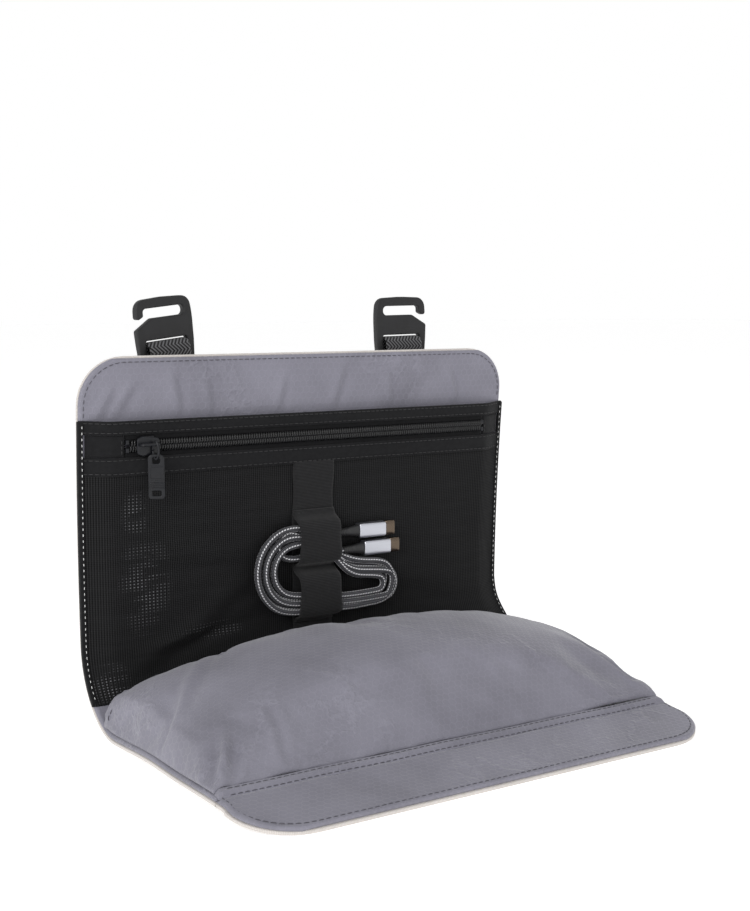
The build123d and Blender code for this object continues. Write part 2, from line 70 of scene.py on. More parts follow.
# Sizes read from the frame
BASE_LOW, BASE_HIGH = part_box("base_shell")
FOLD_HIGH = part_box("fold_shell")[1]
PANEL_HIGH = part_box("back_shell")[1]
FLAP_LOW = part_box("flap_shell")[0]
POUCH_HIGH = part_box("headphone_pouch")[1]
SEAM_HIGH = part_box("front_seam")[1]
HALF = BASE_HIGH.x
SEAM_Y = BASE_LOW.y
FOLD_Y = BASE_HIGH.y
SHEET = BASE_HIGH.z
FOLD_R = FOLD_HIGH.z
BACK_Y = FOLD_HIGH.y
PANEL_R = 1.300  # the panel curves back very slightly
CORNER_R = 0.024
BASE_RUN = FOLD_Y - SEAM_Y
FOLD_RUN = FOLD_R * math.pi / 2
PANEL_RUN = PANEL_R * math.asin((PANEL_HIGH.z - FOLD_R) / PANEL_R)
FULL_RUN = BASE_RUN + FOLD_RUN + PANEL_RUN
FLAP_ROOT_Y = SEAM_Y - 0.4 * MM
FLAP_ROOT_Z = 4.6 * MM
FLAP_RUN = math.hypot(FLAP_ROOT_Y - FLAP_LOW.y, FLAP_ROOT_Z) - 0.4 * MM
FLAP_TILT = math.asin(FLAP_ROOT_Z / FLAP_RUN)
FLAP_BLEND = 0.050  # how far behind the seam the base is still raised to it
SIDE_LIFT = 3.4 * MM  # the base's side edges stand a little off the table

# Depths on the panel, in from the outer face, and half widths of the layers
MESH_DEPTH = 10.0 * MM
TAPE_DEPTH = 10.0 * MM
COIL_DEPTH = 11.8 * MM
FACING_DEPTH = 11.0 * MM
STRAP_DEPTH = 11.2 * MM
LINING_REACH = HALF - 0.3 * MM
MESH_HALF = HALF + 0.3 * MM
MESH_EDGE = 4.6 * MM
SHELL_TOP = 1.7 * MM
LINING_UNDER = 1.35 * MM
LAYER_ROUND = 0.5 * MM


# ------------------------------------------------------------------ maths
def ramp(start, end, value):
    """0 before start, 1 after end, smooth between them."""
    t = np.clip((value - start) / (end - start), 0, 1)
    return t * t * (3 - 2 * t)


def crease(x, s, start, end, high, wide):
    """A soft ridge from one point to another, with a furrow beside it, fading at both ends."""
    (x0, s0), (x1, s1) = start, end
    run = math.hypot(x1 - x0, s1 - s0)
    along = ((x - x0) * (x1 - x0) + (s - s0) * (s1 - s0)) / run
    off = ((x - x0) * (s1 - s0) - (s - s0) * (x1 - x0)) / run
    fade = ramp(-wide, run * 0.3, along) * ramp(run + wide, run * 0.6, along)
    return high * fade * (np.exp(-((off / wide) ** 2)) - 0.8 * np.exp(-((off / wide - 1.7) ** 2)))


def unit(vectors):
    """Vectors scaled to length 1."""
    return vectors / np.maximum(np.linalg.norm(vectors, axis=-1, keepdims=True), 1e-12)


def travelled(points):
    """How far along a line each of its points is."""
    return np.r_[0, np.cumsum(np.linalg.norm(np.diff(points, axis=0), axis=1))]


def points_at(points, at):
    """The points that lie set distances along a line."""
    steps = travelled(points)
    return np.stack([np.interp(at, steps, points[:, i]) for i in range(3)], -1)


def resample(points, spacing=None, count=None):
    """The same line with evenly spaced points, and how far along each is."""
    run = travelled(points)[-1]
    at = np.linspace(0, run, count or max(2, int(round(run / spacing)) + 1))
    return points_at(points, at), at


def squarish(a, power):
    """Cosine and sine of angles, pushed out towards a square by a power below 1."""
    return tuple(np.sign(v) * np.abs(v) ** power for v in (np.cos(a), np.sin(a)))


def ring_faces(rings, sides):
    """Quads between rings of points that follow each other, as indices."""
    return [
        (i * sides + k, i * sides + (k + 1) % sides, (i + 1) * sides + (k + 1) % sides, (i + 1) * sides + k)
        for i in range(rings - 1)
        for k in range(sides)
    ]


def run_at(height):
    """How far along the sheet the panel reaches a height."""
    return BASE_RUN + FOLD_RUN + PANEL_R * math.asin((height - FOLD_R) / PANEL_R)


def wrap(x, s, h):
    """Points of the case sheet: x across, s along it from the front seam, h in from the outer face.
    A negative s is on the flap."""
    x, s, h = np.broadcast_arrays(*(np.asarray(v, float) for v in (x, s, h)))
    turn = np.clip((s - BASE_RUN) / FOLD_R, 0, math.pi / 2)
    rise = np.maximum(s - BASE_RUN - FOLD_RUN, 0) / PANEL_R
    y = SEAM_Y + np.clip(s, 0, BASE_RUN) + (FOLD_R - h) * np.sin(turn)
    z = FOLD_R - (FOLD_R - h) * np.cos(turn)
    y = np.where(rise > 0, BACK_Y - PANEL_R + (PANEL_R - h) * np.cos(rise), y)
    z = np.where(rise > 0, FOLD_R + (PANEL_R - h) * np.sin(rise), z)
    flat = 1 - ramp(BASE_RUN * 0.55, BASE_RUN * 1.15, s)
    side = ramp(HALF * 0.66, HALF, np.abs(x)) * ramp(0, FLAP_BLEND, s) * flat
    z = z + FLAP_ROOT_Z * (1 - ramp(0, FLAP_BLEND, s)) + SIDE_LIFT * side
    dip = np.cos(FLAP_TILT), np.sin(FLAP_TILT)
    y = np.where(s < 0, FLAP_ROOT_Y + s * dip[0] - h * dip[1], y)
    z = np.where(s < 0, FLAP_ROOT_Z + s * dip[1] + h * dip[0], z)
    return np.stack((x, y, z), axis=-1)


# ------------------------------------------------------------------ meshes
def link(name, data):
    """A new object in the scene."""
    made = bpy.data.objects.new(name, data)
    bpy.context.scene.collection.objects.link(made)
    return made


def skin(name, grid, material, uv=None, closed=True, caps=True):
    """A mesh over rows of points: each row is a ring if closed, or a line across if not."""
    rows, cols = grid.shape[:2]
    r, c = np.meshgrid(np.arange(rows - 1), np.arange(cols if closed else cols - 1), indexing="ij")
    d = (c + 1) % cols
    quads = np.stack((r * cols + c, r * cols + d, (r + 1) * cols + d, (r + 1) * cols + c), -1)
    faces = quads.reshape(-1, 4).tolist()
    if closed and caps:
        faces.append(list(range(cols))[::-1])
        faces.append([(rows - 1) * cols + i for i in range(cols)])
    return shape(name, grid.reshape(-1, 3), faces, material, None if uv is None else uv.reshape(-1, 2))


def shape(name, points, faces, material, uv=None):
    """A mesh object from points and faces, with its UVs in metres."""
    mesh = bpy.data.meshes.new(name)
    mesh.from_pydata(np.asarray(points).tolist(), [], faces)
    if uv is not None:
        layer = mesh.uv_layers.new(name="UVMap")
        index = np.zeros(len(mesh.loops), int)
        mesh.loops.foreach_get("vertex_index", index)
        layer.data.foreach_set("uv", np.asarray(uv)[index].astype(np.float32).ravel())
    mesh.materials.append(material)
    mesh.validate()
    mesh.polygons.foreach_set("use_smooth", [True] * len(mesh.polygons))
    mesh.update()
    return link(name, mesh)


def final_mesh(obj):
    """The mesh that an object's modifiers or curve settings make."""
    graph = bpy.context.evaluated_depsgraph_get()
    return bpy.data.meshes.new_from_object(obj.evaluated_get(graph), depsgraph=graph)


def bake(obj):
    """Replace an object's mesh by what its modifiers make of it."""
    made = final_mesh(obj)
    obj.modifiers.clear()
    obj.data = made
    return obj


def join(name, parts):
    """Several mesh objects made into one."""
    with bpy.context.temp_override(active_object=parts[0], selected_editable_objects=parts):
        bpy.ops.object.join()
    parts[0].name = name
    return parts[0]


def turned(obj, centre, turn=0.0, lean=0.0, low=-1.0, high=-0.9):
    """Turn an object about the vertical and lean it sideways about a point, growing between two heights."""
    points = np.zeros(len(obj.data.vertices) * 3)
    obj.data.vertices.foreach_get("co", points)
    points = points.reshape(-1, 3)
    share = ramp(low, high, points[:, 2])
    a, b = np.radians(turn) * share, np.radians(lean) * share
    x, y, z = (points - np.array(centre)).T
    x, z = x * np.cos(b) + z * np.sin(b), z * np.cos(b) - x * np.sin(b)
    moved = np.stack((x * np.cos(a) - y * np.sin(a), x * np.sin(a) + y * np.cos(a), z), -1) + np.array(centre)
    obj.data.vertices.foreach_set("co", moved.astype(np.float32).ravel())
    obj.data.update()
    return obj


@contextmanager
def edited(mesh):
    """A mesh opened for editing, and written back."""
    bm = bmesh.new()
    bm.from_mesh(mesh)
    yield bm
    bm.to_mesh(mesh)
    bm.free()


def outward(obj):
    """Turn an object's faces to the outside."""
    with edited(obj.data) as bm:
        bmesh.ops.recalc_face_normals(bm, faces=bm.faces)
    return obj


def band(name, material, s, low, high, half, centre=0.0, cols=90, rounding=0.6 * MM):
    """A strip of the sheet with rounded edges, between two depths. Depths may depend on (x, s)."""
    even = np.linspace(-1, 1, cols)
    cuts = 0.35 * np.sin(even * math.pi / 2) + 0.65 * even
    halves = half(s) if callable(half) else np.full(len(s), half)
    x = centre + halves[:, None] * cuts[None, :]
    along = np.repeat(s[:, None], cols, 1)
    edge = np.minimum(halves[:, None] * (1 - np.abs(cuts)), np.minimum(along - s[0], s[-1] - along))
    full = np.sqrt(1 - (1 - np.clip(edge / rounding, 0.0, 1)) ** 2)
    top = high(x, along) if callable(high) else np.full_like(x, high)
    bottom = low(x, along) if callable(low) else np.full_like(x, low)
    middle, reach = (top + bottom) / 2, (top - bottom) / 2 * np.maximum(full, 0.15)
    grid = np.concatenate((wrap(x, along, middle + reach), wrap(x, along, middle - reach)[:, ::-1]), 1)
    flat = np.stack((x, along), -1)
    return outward(skin(name, grid, material, np.concatenate((flat, flat[:, ::-1]), 1)))


def tangents(points):
    """Unit tangents of a line of points."""
    return unit(np.gradient(points, axis=0))


def thread(name, material, points, normals, pitch=3.4 * MM, length=2.7 * MM, radius=0.24 * MM):
    """A line of stitches along points, each a short bead that dips in at its ends."""
    steps = travelled(points)
    at = np.arange(pitch / 2, steps[-1] - pitch / 2, pitch)
    start, centre, end = (points_at(points, at + shift) for shift in (-length / 2, 0, length / 2))
    up = unit(np.stack([np.interp(at, steps, normals[:, i]) for i in range(3)], -1))
    along = unit(end - start)
    across = np.cross(up, along)
    sides = 6
    sections = ((-1.0, 0.25, -1.0), (-0.8, 0.8, -0.35), (-0.35, 1, 0.1))  # place along, girth, height
    sections += tuple((-place, girth, high) for place, girth, high in sections[::-1])
    rings = []
    for place, girth, high in sections:
        middle = centre + along * (place * length / 2) + up * (high * radius)
        for k in range(sides):
            a = 2 * math.pi * k / sides
            rings.append(middle + radius * girth * (up * math.cos(a) + across * math.sin(a)))
    firsts = np.arange(len(at)) * sides * len(sections)
    faces = np.array(ring_faces(len(sections), sides))[None] + firsts[:, None, None]
    return outward(shape(name, np.stack(rings, 1).reshape(-1, 3), faces.reshape(-1, 4).tolist(), material))


def sheet_thread(name, material, path, depth, out=-1, **kw):
    """Stitches along a path of (x, s) on the sheet, at a depth, facing in from it or, with out=1, out."""
    flat, _ = resample(np.c_[np.asarray(path, float), np.zeros(len(path))], 1.5 * MM)
    h = depth(flat[:, 0], flat[:, 1]) if callable(depth) else np.full(len(flat), depth)
    points = wrap(flat[:, 0], flat[:, 1], h)
    normals = unit(wrap(flat[:, 0], flat[:, 1], h - out * MM) - points)
    return thread(name, material, points, normals, **kw)


def corner(cx, cs, radius, start, end, steps=9):
    """Points of a rounded corner, as (x, s)."""
    a = np.radians(np.linspace(start, end, steps))
    return [(cx + radius * math.cos(t), cs + radius * math.sin(t)) for t in a]


def sheet_outline(inset=0.0, start=0.0):
    """The case's free edge from front left, up, across the top and down to front right, as (x, s)."""
    x, r = HALF - inset, max(CORNER_R - inset, 1 * MM)
    top = FULL_RUN - inset
    left = [(-x, s) for s in np.linspace(start, top - r, 60)[:-1]]
    right = [(x, s) for s in np.linspace(top - r, start, 60)[1:]]
    across = [(v, top) for v in np.linspace(r - x, x - r, 50)[1:-1]]
    return np.array(
        left + corner(r - x, top - r, r, 180, 90) + across + corner(x - r, top - r, r, 90, 0) + right
    )


FLAP_CORNER = 0.029
RIM_HALF = 1.0 * MM
RIM_TALL = 0.85 * MM
RIM_DEPTH = 0.65 * MM


def flap_half(s):
    """Half the flap's width, pinched a little behind its rounded front corners."""
    d = -np.asarray(s, float)
    pinch = 0.8 * MM * np.sin(np.clip(d / (FLAP_RUN - FLAP_CORNER * 0.8), 0, 1) * math.pi)
    past = np.clip(d - (FLAP_RUN - FLAP_CORNER), 0, FLAP_CORNER)
    return HALF - pinch - FLAP_CORNER + np.sqrt(np.maximum(FLAP_CORNER**2 - past**2, 0))


def flap_outline(inset=0.0):
    """The flap's free edge from back left round the front to back right, as (x, s)."""
    run = FLAP_RUN - FLAP_CORNER
    left = [(-(flap_half(-d) - inset), -d) for d in np.linspace(0, run, 10)[:-1]]
    r = FLAP_CORNER - inset
    x = HALF - FLAP_CORNER
    front = [(v, -FLAP_RUN + inset) for v in np.linspace(-x, x, 60)[1:-1]]
    right = [(-a, b) for a, b in reversed(left)]
    return np.array(left + corner(-x, -run, r, 180, 270) + front + corner(x, -run, r, 270, 360) + right)


def rim(name, material, outline):
    """The bound edge of the sheet: a flattened bead along an outline, below the lining's face."""
    step, sides = 2.2 * MM, 20
    flat, _ = resample(np.c_[outline, np.zeros(len(outline))], step)
    tangent = tangents(flat)
    a = np.linspace(0, 2 * math.pi, sides, endpoint=False)
    u, v = squarish(a, 0.62)
    u, v = RIM_HALF * u, RIM_TALL * v
    x = flat[:, :1] - tangent[:, 1:2] * u[None]
    s = flat[:, 1:2] + tangent[:, :1] * u[None]
    h = np.broadcast_to(RIM_DEPTH + v[None], x.shape)
    along = np.arange(len(flat)) * step
    uv = np.stack(np.broadcast_arrays((a * RIM_HALF)[None], along[:, None]), -1)
    return outward(skin(name, wrap(x, s, h), material, uv))


# ------------------------------------------------------------------ materials
def shade(colour, share):
    """A colour made darker or lighter."""
    return tuple(c * share for c in colour)


class Paint:
    """A node material being built: its nodes, and the Principled shader at its end."""

    def __init__(self, name, rough, **sockets):
        self.material = bpy.data.materials.new(name)
        self.material.use_nodes = True
        self.tree = self.material.node_tree
        self.shader = self.tree.nodes["Principled BSDF"]
        self.set(self.shader, {"Roughness": rough, **sockets})

    def set(self, node, inputs):
        for key, value in inputs.items():
            if isinstance(value, bpy.types.NodeSocket):
                self.tree.links.new(value, node.inputs[key])
            else:
                node.inputs[key].default_value = value

    def node(self, kind, inputs=None, out=0, **props):
        """Add a node and return one of its outputs."""
        made = self.tree.nodes.new("ShaderNode" + kind)
        for key, value in props.items():
            setattr(made, key, value)
        self.set(made, inputs or {})
        return made.outputs[out]

    def math(self, operation, *values):
        return self.node("Math", dict(enumerate(values)), operation=operation)

    def vector(self, operation, *values, out=0):
        return self.node("VectorMath", dict(enumerate(values)), operation=operation, out=out)

    def uv(self):
        """The piece's own coordinates, in metres."""
        return self.node("TexCoord", out=2)

    def stretched(self, vector, scale):
        """Coordinates multiplied along each axis."""
        return self.node("Mapping", {0: vector, 3: scale})

    def place(self):
        """Object coordinates, in millimetres."""
        return self.node("VectorMath", {0: self.node("TexCoord", out=3), "Scale": 1000.0}, operation="SCALE")

    def noise(self, vector, scale, detail=3.0, rough=0.5):
        return self.node("TexNoise", {"Vector": vector, "Scale": scale, "Detail": detail, "Roughness": rough})

    def wave(self, vector, period, direction="X", distort=0.0):
        """Even bands across one direction, a set distance apart."""
        inputs = {"Vector": vector, "Scale": math.pi / 10 / period, "Distortion": distort}
        return self.node("TexWave", inputs, out=1, bands_direction=direction)

    def ramp(self, factor, *stops):
        """Colours along a factor, as (position, (r, g, b)) or (position, value)."""
        made = self.tree.nodes.new("ShaderNodeValToRGB")
        bar = made.color_ramp
        while len(bar.elements) < len(stops):
            bar.elements.new(0.5)
        for element, (position, colour) in zip(bar.elements, stops):
            colour = (colour,) * 3 if isinstance(colour, (int, float)) else colour
            element.position, element.color = position, (*colour, 1)
        self.tree.links.new(factor, made.inputs[0])
        return made.outputs[0]

    def mix(self, factor, a, b):
        """Two colours mixed by a factor."""
        made = self.tree.nodes.new("ShaderNodeMix")
        made.data_type = "RGBA"
        for key, value in ((0, factor), (6, a), (7, b)):
            self.set(made, {key: (*value, 1) if isinstance(value, tuple) else value})
        return made.outputs[2]

    def bump(self, height, distance, strength=1.0, under=None):
        inputs = {"Height": height, "Distance": distance, "Strength": strength}
        if under is not None:
            inputs["Normal"] = under
        return self.node("Bump", inputs)

    def done(self, colour, rough=None, normal=None):
        """Plug the colour, roughness and normal into the shader, and return the material."""
        colour = (*colour, 1) if isinstance(colour, tuple) else colour
        for key, value in (("Base Color", colour), ("Roughness", rough), ("Normal", normal)):
            if value is not None:
                self.set(self.shader, {key: value})
        return self.material


def hexagons(paint, coords, size):
    """How near each point is to the edge of its hexagon: 0 at the centre, 1 on the edge."""
    half = (0.5, math.sqrt(3) / 2, 0)
    near = paint.stretched(coords, (1 / size, 1 / size, 0))
    reach = []
    for point in (near, paint.vector("ADD", near, half)):
        wrapped = paint.vector("WRAP", point, (1.0, math.sqrt(3), 1.0), (0, 0, 0))
        off = paint.vector("ABSOLUTE", paint.vector("SUBTRACT", wrapped, half))
        slanted = paint.vector("DOT_PRODUCT", off, half, out=1)
        reach.append(paint.math("MAXIMUM", slanted, paint.node("SeparateXYZ", {0: off})))
    return paint.math("MULTIPLY", paint.math("MINIMUM", *reach), 2.0)


def ripstop(name, colour, depth=1.0):
    """Grey coated ripstop with a hexagon grid, fine weave and soft creases."""
    p = Paint(name, 0.62, **{"Sheen Weight": 0.25, "Sheen Roughness": 0.4, "Specular IOR Level": 0.35})
    uv = p.uv()
    bent = p.vector("ADD", uv, p.vector("MULTIPLY", p.noise(uv, 160.0, 2.0), (0.0006, 0.0006, 0)))
    cell = hexagons(p, bent, 3.6 * MM)
    line = p.ramp(cell, (0.78, 0.0), (0.93, 1.0))
    wide = p.noise(uv, 22.0, 4.0, 0.55)
    fine = p.noise(uv, 1500.0, 2.0)
    weave = p.math("ADD", p.wave(uv, 0.45 * MM, "X"), p.wave(uv, 0.45 * MM, "Y"))
    tint = p.ramp(wide, (0.3, shade(colour, 0.8)), (0.5, colour), (0.72, shade(colour, 1.16)))
    tint = p.mix(p.math("MULTIPLY", line, 0.13), tint, shade(colour, 1.5))
    tint = p.mix(p.math("MULTIPLY", fine, 0.22), tint, shade(colour, 0.6))
    folds = p.noise(p.stretched(uv, (1.0, 0.35, 1.0)), 55.0, 3.0, 0.6)
    crinkle = p.noise(uv, 38.0, 4.0, 0.6)
    ridge = p.ramp(p.math("ABSOLUTE", p.math("SUBTRACT", crinkle, 0.5)), (0.0, 1.0), (0.035, 0.0))
    ridge = p.math("MULTIPLY", ridge, p.ramp(p.noise(uv, 17.0, 1.0), (0.46, 0.0), (0.62, 1.0)))
    tint = p.mix(p.math("MULTIPLY", ridge, 0.22), tint, shade(colour, 1.5))
    normal = p.bump(folds, 1.3 * MM * depth, 0.55)
    normal = p.bump(ridge, 0.45 * MM * depth, 0.7, normal)
    normal = p.bump(line, 0.08 * MM, 0.6, normal)
    normal = p.bump(weave, 0.03 * MM, 0.5, normal)
    return p.done(tint, p.ramp(line, (0.0, 0.66), (1.0, 0.5)), normal)


def cloth(name, colour, pitch, depth, rough=0.85, sheen=0.2, contrast=0.35, ribs=None, shine=0.3):
    """Woven cloth: ribs or a plain weave at a pitch, with yarn-by-yarn colour and a little fuzz."""
    p = Paint(name, rough, **{"Sheen Weight": sheen, "Sheen Roughness": 0.5, "Specular IOR Level": shine})
    uv = p.uv()
    across = p.wave(uv, pitch, "X")
    along = p.wave(uv, pitch, "Y")
    weave = {"X": across, "Y": along, None: p.math("MULTIPLY", across, along)}[ribs]
    yarn = p.noise(uv, 400.0, 3.0, 0.6)
    tint = p.ramp(weave, (0.1, shade(colour, 1 - contrast)), (0.9, shade(colour, 1 + contrast)))
    tint = p.mix(p.math("MULTIPLY", yarn, 0.5), tint, shade(colour, 0.55))
    tint = p.mix(p.ramp(p.noise(uv, 14.0), (0.45, 0.0), (0.8, 0.18)), tint, shade(colour, 1.7))
    normal = p.bump(p.noise(uv, 45.0, 2.0), 0.5 * MM, 0.35)
    normal = p.bump(weave, depth, 0.9, normal)
    normal = p.bump(yarn, depth * 0.5, 0.5, normal)
    return p.done(tint, p.ramp(yarn, (0.3, rough - 0.1), (0.7, min(rough + 0.08, 1.0))), normal)


def net(name, glints):
    """Black knitted mesh in upright columns of fine holes. Where it lies close to the case, small pale dashes
    are
    painted on it: partly the pale case seen through it, partly painted glints."""
    p = Paint(name, 0.75, **{"Specular IOR Level": 0.1, "Sheen Weight": 0.03})
    uv = p.uv()
    columns = p.wave(uv, 1.25 * MM, "X", distort=0.2)
    rows = p.wave(uv, 0.95 * MM, "Y", distort=0.3)
    knit = p.math("MULTIPLY_ADD", rows, 0.35, p.math("MULTIPLY", columns, 0.65))
    tint = p.ramp(knit, (0.15, (0.0028, 0.0028, 0.003)), (0.85, (0.019, 0.019, 0.0198)))
    streak = p.noise(p.stretched(uv, (0.15, 1.0, 1.0)), 260.0, 1.0)
    tint = p.mix(p.ramp(streak, (0.45, 0.0), (0.75, 0.25)), tint, (0.018, 0.018, 0.019))
    near = None
    for place, reach in glints:
        shift = tuple(-a / b for a, b in zip(place, reach))
        off = p.node("Mapping", {0: uv, 1: shift, 3: tuple(1 / b for b in reach)})
        patch = p.ramp(p.vector("LENGTH", off, out=1), (0.2, 1.0), (1.0, 0.0))
        near = patch if near is None else p.math("MAXIMUM", near, patch)
    dash = p.math("MULTIPLY", p.wave(uv, 2.1 * MM, "X"), p.wave(uv, 1.7 * MM, "Y"))
    dash = p.ramp(dash, (0.58, 0.0), (0.78, 1.0))
    patchy = p.ramp(p.noise(p.stretched(uv, (1.0, 3.0, 1.0)), 60.0), (0.42, 0.0), (0.58, 1.0))
    # Pale dashes: partly the case seen through the mesh, partly painted glints
    show_through_and_glint = p.math("MULTIPLY", p.math("MULTIPLY", dash, patchy), near)
    tint = p.mix(show_through_and_glint, tint, (0.17, 0.17, 0.18))
    soft = p.noise(p.stretched(uv, (1.0, 0.5, 1.0)), 30.0, 3.0)
    normal = p.bump(knit, 0.2 * MM, 0.8, p.bump(soft, 1.4 * MM, 0.5))
    return p.done(tint, p.ramp(knit, (0, 0.95), (1, 0.6)), normal)


def herringbone(name, colour):
    """Webbing with a herringbone weave: slanted ribs that turn in each of its bands."""
    p = Paint(name, 0.7, **{"Sheen Weight": 0.1, "Specular IOR Level": 0.2})
    uv = p.uv()
    across = p.vector("DOT_PRODUCT", uv, (1, 0, 0), out=1)
    along = p.vector("DOT_PRODUCT", uv, (0, 1, 0), out=1)
    slant = p.math("ADD", across, p.math("PINGPONG", along, 3.2 * MM))
    ribs = p.math("SINE", p.math("MULTIPLY", slant, 2 * math.pi / (2.2 * MM)))
    ribs = p.math("MULTIPLY_ADD", ribs, 0.5, 0.5)
    tint = p.ramp(ribs, (0.25, shade(colour, 0.04)), (0.9, colour))
    tint = p.mix(p.math("MULTIPLY", p.noise(uv, 900.0), 0.5), tint, shade(colour, 0.1))
    return p.done(tint, p.ramp(ribs, (0, 0.85), (1, 0.6)), p.bump(ribs, 0.25 * MM, 0.9))


def painted(name, colour, rough=0.42, grain=0.02, shine=0.5, wear=(0.05, 0.05, 0.055)):
    """Satin coated metal: a fine orange-peel, uneven gloss and slight rubbing in scattered flecks."""
    p = Paint(name, rough, **{"Specular IOR Level": shine})
    at = p.place()
    peel = p.noise(at, 2.2, 3.0)
    cloud = p.noise(at, 0.12, 3.0)
    tint = p.ramp(cloud, (0.3, shade(colour, 0.85)), (0.7, shade(colour, 1.2)))
    rub = p.ramp(p.noise(at, 0.8, 5.0, 0.7), (0.60, 0.0), (0.78, 0.35))
    tint = p.mix(rub, tint, wear)
    return p.done(tint, p.ramp(cloud, (0.2, rough - 0.08), (0.8, rough + 0.1)), p.bump(peel, grain * MM, 0.6))


def brushed(name, colour, rough):
    """Metal brushed along X, with faint streaks in its gloss."""
    p = Paint(name, rough, Metallic=1.0)
    streak = p.noise(p.stretched(p.place(), (0.05, 1.0, 1.0)), 2.5, 4.0, 0.6)
    tint = p.ramp(streak, (0.25, shade(colour, 0.88)), (0.75, colour))
    gloss = p.ramp(streak, (0.2, rough - 0.06), (0.8, rough + 0.1))
    return p.done(tint, gloss, p.bump(streak, 0.02 * MM, 0.4))


def braid(name):
    """Braided cable sleeve: dark yarns crossing both ways, with pale flecked lines along it."""
    p = Paint(name, 0.55, **{"Specular IOR Level": 0.45, "Sheen Weight": 0.15})
    around = p.vector("DOT_PRODUCT", p.uv(), (1, 0, 0), out=1)
    along = p.vector("DOT_PRODUCT", p.uv(), (0, 1, 0), out=1)
    rows = p.math("MULTIPLY", along, 2 * math.pi / (1.7 * MM))
    turns = p.math("MULTIPLY", around, 2 * math.pi * 6)
    left = p.math("SINE", p.math("ADD", rows, turns))
    right = p.math("SINE", p.math("SUBTRACT", rows, turns))
    weave = p.math("MULTIPLY_ADD", p.math("MULTIPLY", left, right), 0.5, 0.5)
    over = p.math("MULTIPLY_ADD", left, 0.5, 0.5)
    dark, middle, pale = (0.006, 0.006, 0.008), (0.028, 0.028, 0.033), (0.085, 0.085, 0.098)
    tint = p.ramp(weave, (0.15, dark), (0.5, middle), (0.9, pale))
    lane = p.math("ABSOLUTE", p.math("SINE", p.math("MULTIPLY", around, 4 * math.pi)))
    fleck = p.math("MULTIPLY", p.ramp(lane, (0.92, 0.0), (0.97, 1.0)), p.ramp(over, (0.25, 0.0), (0.45, 1.0)))
    tint = p.mix(fleck, tint, (0.74, 0.74, 0.76))
    return p.done(tint, p.ramp(weave, (0, 0.75), (1, 0.45)), p.bump(weave, 0.18 * MM, 0.8))


def plain(name, colour, rough, grain=0.03, scale=2.0, **sockets):
    """Moulded rubber, plastic or thread: a fine grain and slight unevenness in tone and gloss."""
    p = Paint(name, rough, **sockets)
    at = p.place()
    fine, cloud = p.noise(at, scale, 4.0), p.noise(at, 0.15, 3.0)
    tint = p.ramp(cloud, (0.3, shade(colour, 0.8)), (0.7, tuple(min(c * 1.2, 1) for c in colour)))
    gloss = p.ramp(fine, (0.3, rough - 0.08), (0.7, min(rough + 0.08, 1)))
    return p.done(tint, gloss, p.bump(fine, grain * MM, 0.5))


GREY = (0.214, 0.209, 0.251)
lining_mat = ripstop("grey_ripstop", GREY)
# The pouch's ripstop: the lining's fabric, painted 3% darker as shade
pouch_mat = ripstop("grey_ripstop_pouch_shaded", shade(GREY, 0.97), 0.8)
shell_mat = cloth("cream_shell", (0.66, 0.62, 0.585), 0.55 * MM, 0.08 * MM, contrast=0.12)
rim_mat = cloth("cream_binding", (0.70, 0.655, 0.62), 0.7 * MM, 0.12 * MM, contrast=0.16, ribs="Y")
# The mesh's pale dashes are partly the case seen through it, partly painted glints
net_mat = net(
    "black_net",
    (  # where the pale dashes show: a place (x, s) and how far they reach round it
        ((-0.098, run_at(0.072), 0), (0.016, 0.030, 1)),
        ((-0.103, run_at(0.108), 0), (0.008, 0.014, 1)),
        ((-0.118, BASE_RUN + 0.040, 0), (0.012, 0.016, 1)),
        ((-0.060, BASE_RUN + 0.066, 0), (0.022, 0.006, 1)),
    ),
)
gros_mat = cloth(
    "black_grosgrain", (0.010, 0.010, 0.011), 0.5 * MM, 0.07 * MM, 0.8, 0.06, ribs="X", shine=0.14
)
tape_mat = cloth("zip_tape_black", (0.009, 0.009, 0.0098), 0.4 * MM, 0.06 * MM, 0.85, 0.06, shine=0.12)
elastic_mat = cloth(
    "black_elastic", (0.018, 0.0178, 0.0187), 0.8 * MM, 0.14 * MM, 0.85, 0.1, 0.5, ribs="Y", shine=0.14
)
web_mat = herringbone("webbing_herringbone", (0.15, 0.15, 0.158))
coil_mat = plain("zip_coil_black", (0.006, 0.006, 0.0065), 0.22, 0.01, **{"Specular IOR Level": 0.42})
slider_mat = painted("slider_black", (0.009, 0.0095, 0.012), 0.3, shine=0.3, wear=(0.02, 0.02, 0.024))
hook_mat = painted("hook_black", (0.016, 0.016, 0.017), 0.5, 0.035, shine=0.3, wear=(0.03, 0.03, 0.032))
plug_mat = brushed("plug_aluminium", (0.60, 0.61, 0.66), 0.34)
# Plug tips: steel, coloured dark brown as a painted reflection of the dark surroundings they face
tip_mat = brushed("plug_steel_dark_reflection", (0.13, 0.10, 0.075), 0.2)
boot_mat = plain("boot_rubber", (0.018, 0.018, 0.019), 0.5, 0.02)
braid_mat = braid("cable_braid")
grey_thread = plain("thread_grey", (0.085, 0.083, 0.10), 0.7, 0.02, 6.0)
cream_thread = plain("thread_cream", (0.72, 0.69, 0.65), 0.7, 0.02, 6.0)
white_thread = plain("thread_white", (0.80, 0.80, 0.79), 0.65, 0.02, 6.0)
black_thread = plain("thread_black", (0.022, 0.022, 0.023), 0.6, 0.02, 6.0)
foam_mat = plain("foam_core", (0.10, 0.10, 0.10), 0.95, 0.2, 1.2)
magnet_mat = brushed("magnet_plated", (0.62, 0.62, 0.60), 0.3)
SLOT_LOOKS = {
    "shell": shell_mat, "foam": foam_mat, "lining": lining_mat, "mesh": net_mat, "grosgrain": gros_mat,
    "elastic": elastic_mat, "webbing": web_mat, "zip_coil": coil_mat, "zip_metal": slider_mat,
    "hook_metal": hook_mat, "magnet": magnet_mat, "cable_sleeve": braid_mat, "boot_rubber": boot_mat,
    "plug_shell": plug_mat, "plug_tip": tip_mat,
}


